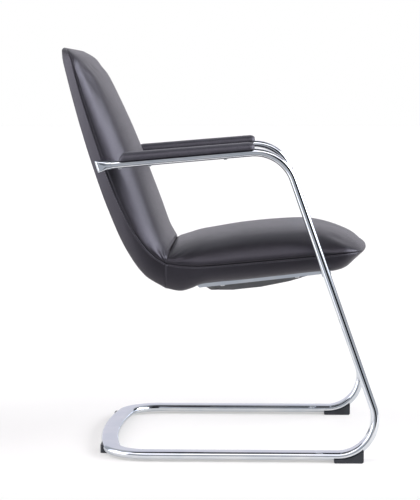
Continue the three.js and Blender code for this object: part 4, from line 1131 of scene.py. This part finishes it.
# The studio round the chair. Azimuth is 0 towards the camera and grows towards the chair's front.
# Each panel: colour, azimuths and heights where it fades in and out.
studio = {
    "wall": (0.54, 0.56, 0.60), "ceiling": (0.012, 0.012, 0.015), "ceilingHeights": (0.88, 0.92),
    "seen": (1.0, 1.0, 1.0), "backdrop": (0.98, 0.955, 1.04),
    "backdropCosines": (0.80, 0.93), "backdropHeights": (-0.6, -0.5, 0.62, 0.74),
    "panels": [
        ((0.55, 0.57, 0.61), (-60, -45, 6, 11), (-0.5, -0.4, 0.50, 0.60)),
        ((2.0, 1.95, 2.1), (-85, -70, 60, 75), (0.58, 0.66, 0.86, 0.90)),
        ((0.14, 0.15, 0.17), (-60, -45, 6, 11), (-0.01, 0.01, 0.08, 0.12)),
        ((2.7, 2.7, 2.95), (-125, -112, -62, -50), (-0.65, -0.5, 0.60, 0.75)),
        ((0.008, 0.008, 0.010), (3, 8, 44, 50), (-0.6, -0.4, 0.5, 0.7)),
        ((7.2, 7.4, 8.1), (51, 58, 116, 126), (0.20, 0.27, 0.62, 0.74)),
        ((0.05, 0.052, 0.06), (128, 133, 150, 156), (-0.6, -0.4, 0.6, 0.7)),
        ((0.012, 0.012, 0.015), (-60, -45, 45, 60), (-0.96, -0.94, -0.82, -0.78)),
    ],
}


def makeSky():
    world = bpy.data.worlds.new("studio")
    bpy.context.scene.world = world
    world.use_nodes = True
    tree = world.node_tree
    tree.nodes.clear()

    def step(value, low, high):
        settings = {"interpolation_type": "SMOOTHSTEP"}
        sockets = {"Value": value, "From Min": low, "From Max": high}
        return addNode(tree, "ShaderNodeMapRange", settings, sockets)[0]

    def product(a, b, operation="MULTIPLY"):
        settings = {"operation": operation, "use_clamp": True}
        return addNode(tree, "ShaderNodeMath", settings, {0: a, 1: b})[0]

    def window(value, a, b, c, d):
        return product(step(value, a, b), step(value, c, d), "SUBTRACT")

    def blend(factor, first, second):
        colours = [(*value, 1) if isinstance(value, tuple) else value for value in (first, second)]
        sockets = {0: factor, 6: colours[0], 7: colours[1]}
        return addNode(tree, "ShaderNodeMix", {"data_type": "RGBA"}, sockets)[2]

    place = addNode(tree, "ShaderNodeTexCoord")
    apart = addNode(tree, "ShaderNodeSeparateXYZ", None, {0: place["Generated"]})
    x, y, z = apart
    towards = addNode(tree, "ShaderNodeMath", {"operation": "MULTIPLY"}, {0: y, 1: -1.0})[0]
    azimuth = addNode(tree, "ShaderNodeMath", {"operation": "ARCTAN2"}, {0: x, 1: towards})[0]
    behind = product(step(y, *studio["backdropCosines"]), window(z, *studio["backdropHeights"]))
    colour = blend(behind, studio["wall"], studio["backdrop"])
    for panel, azimuths, heights in studio["panels"]:
        across = window(azimuth, *(radians(v) for v in azimuths))
        colour = blend(product(across, window(z, *heights)), colour, panel)
    colour = blend(step(z, *studio["ceilingHeights"]), colour, studio["ceiling"])
    seen = addNode(tree, "ShaderNodeLightPath")["Is Camera Ray"]
    shade = addNode(tree, "ShaderNodeBackground", None, {0: blend(seen, colour, studio["seen"]), 1: 1.0})
    addNode(tree, "ShaderNodeOutputWorld", None, {0: shade[0]})


softbox = {"place": (-0.2, -1.7, 2.6), "target": (0, 0, 0.4), "size": (2.4, 1.2), "power": 8}
viewpoint = {
    "x": 73.43, "y": -3791.22, "z": 773.23, "down": 5.3865, "turn": 1.5477, "lens": 123.88, "sensor": 36,
}


def makeSoftbox():
    light = bpy.data.lights.new("upper_softbox", "AREA")
    light.shape = "RECTANGLE"
    light.size, light.size_y = softbox["size"]
    light.energy = softbox["power"]
    lamp = addObject("upper_softbox", light)
    lamp.location = softbox["place"]
    way = Vector(softbox["target"]) - Vector(softbox["place"])
    lamp.rotation_euler = way.to_track_quat("-Z", "Y").to_euler()


def makeCamera():
    v = viewpoint
    lensData = bpy.data.cameras.new("photo_camera")
    lensData.lens, lensData.sensor_width = v["lens"], v["sensor"]
    camera = addObject("photo_camera", lensData)
    camera.location = Vector((v["x"] + shiftX, v["y"], v["z"])) * millimetre
    camera.rotation_euler = (radians(90 - v["down"]), 0, radians(v["turn"]))
    bpy.context.scene.camera = camera


makeFloor()
makeSky()
makeSoftbox()
makeCamera()
bpy.context.scene.view_settings.view_transform = "Standard"
print("studio made")
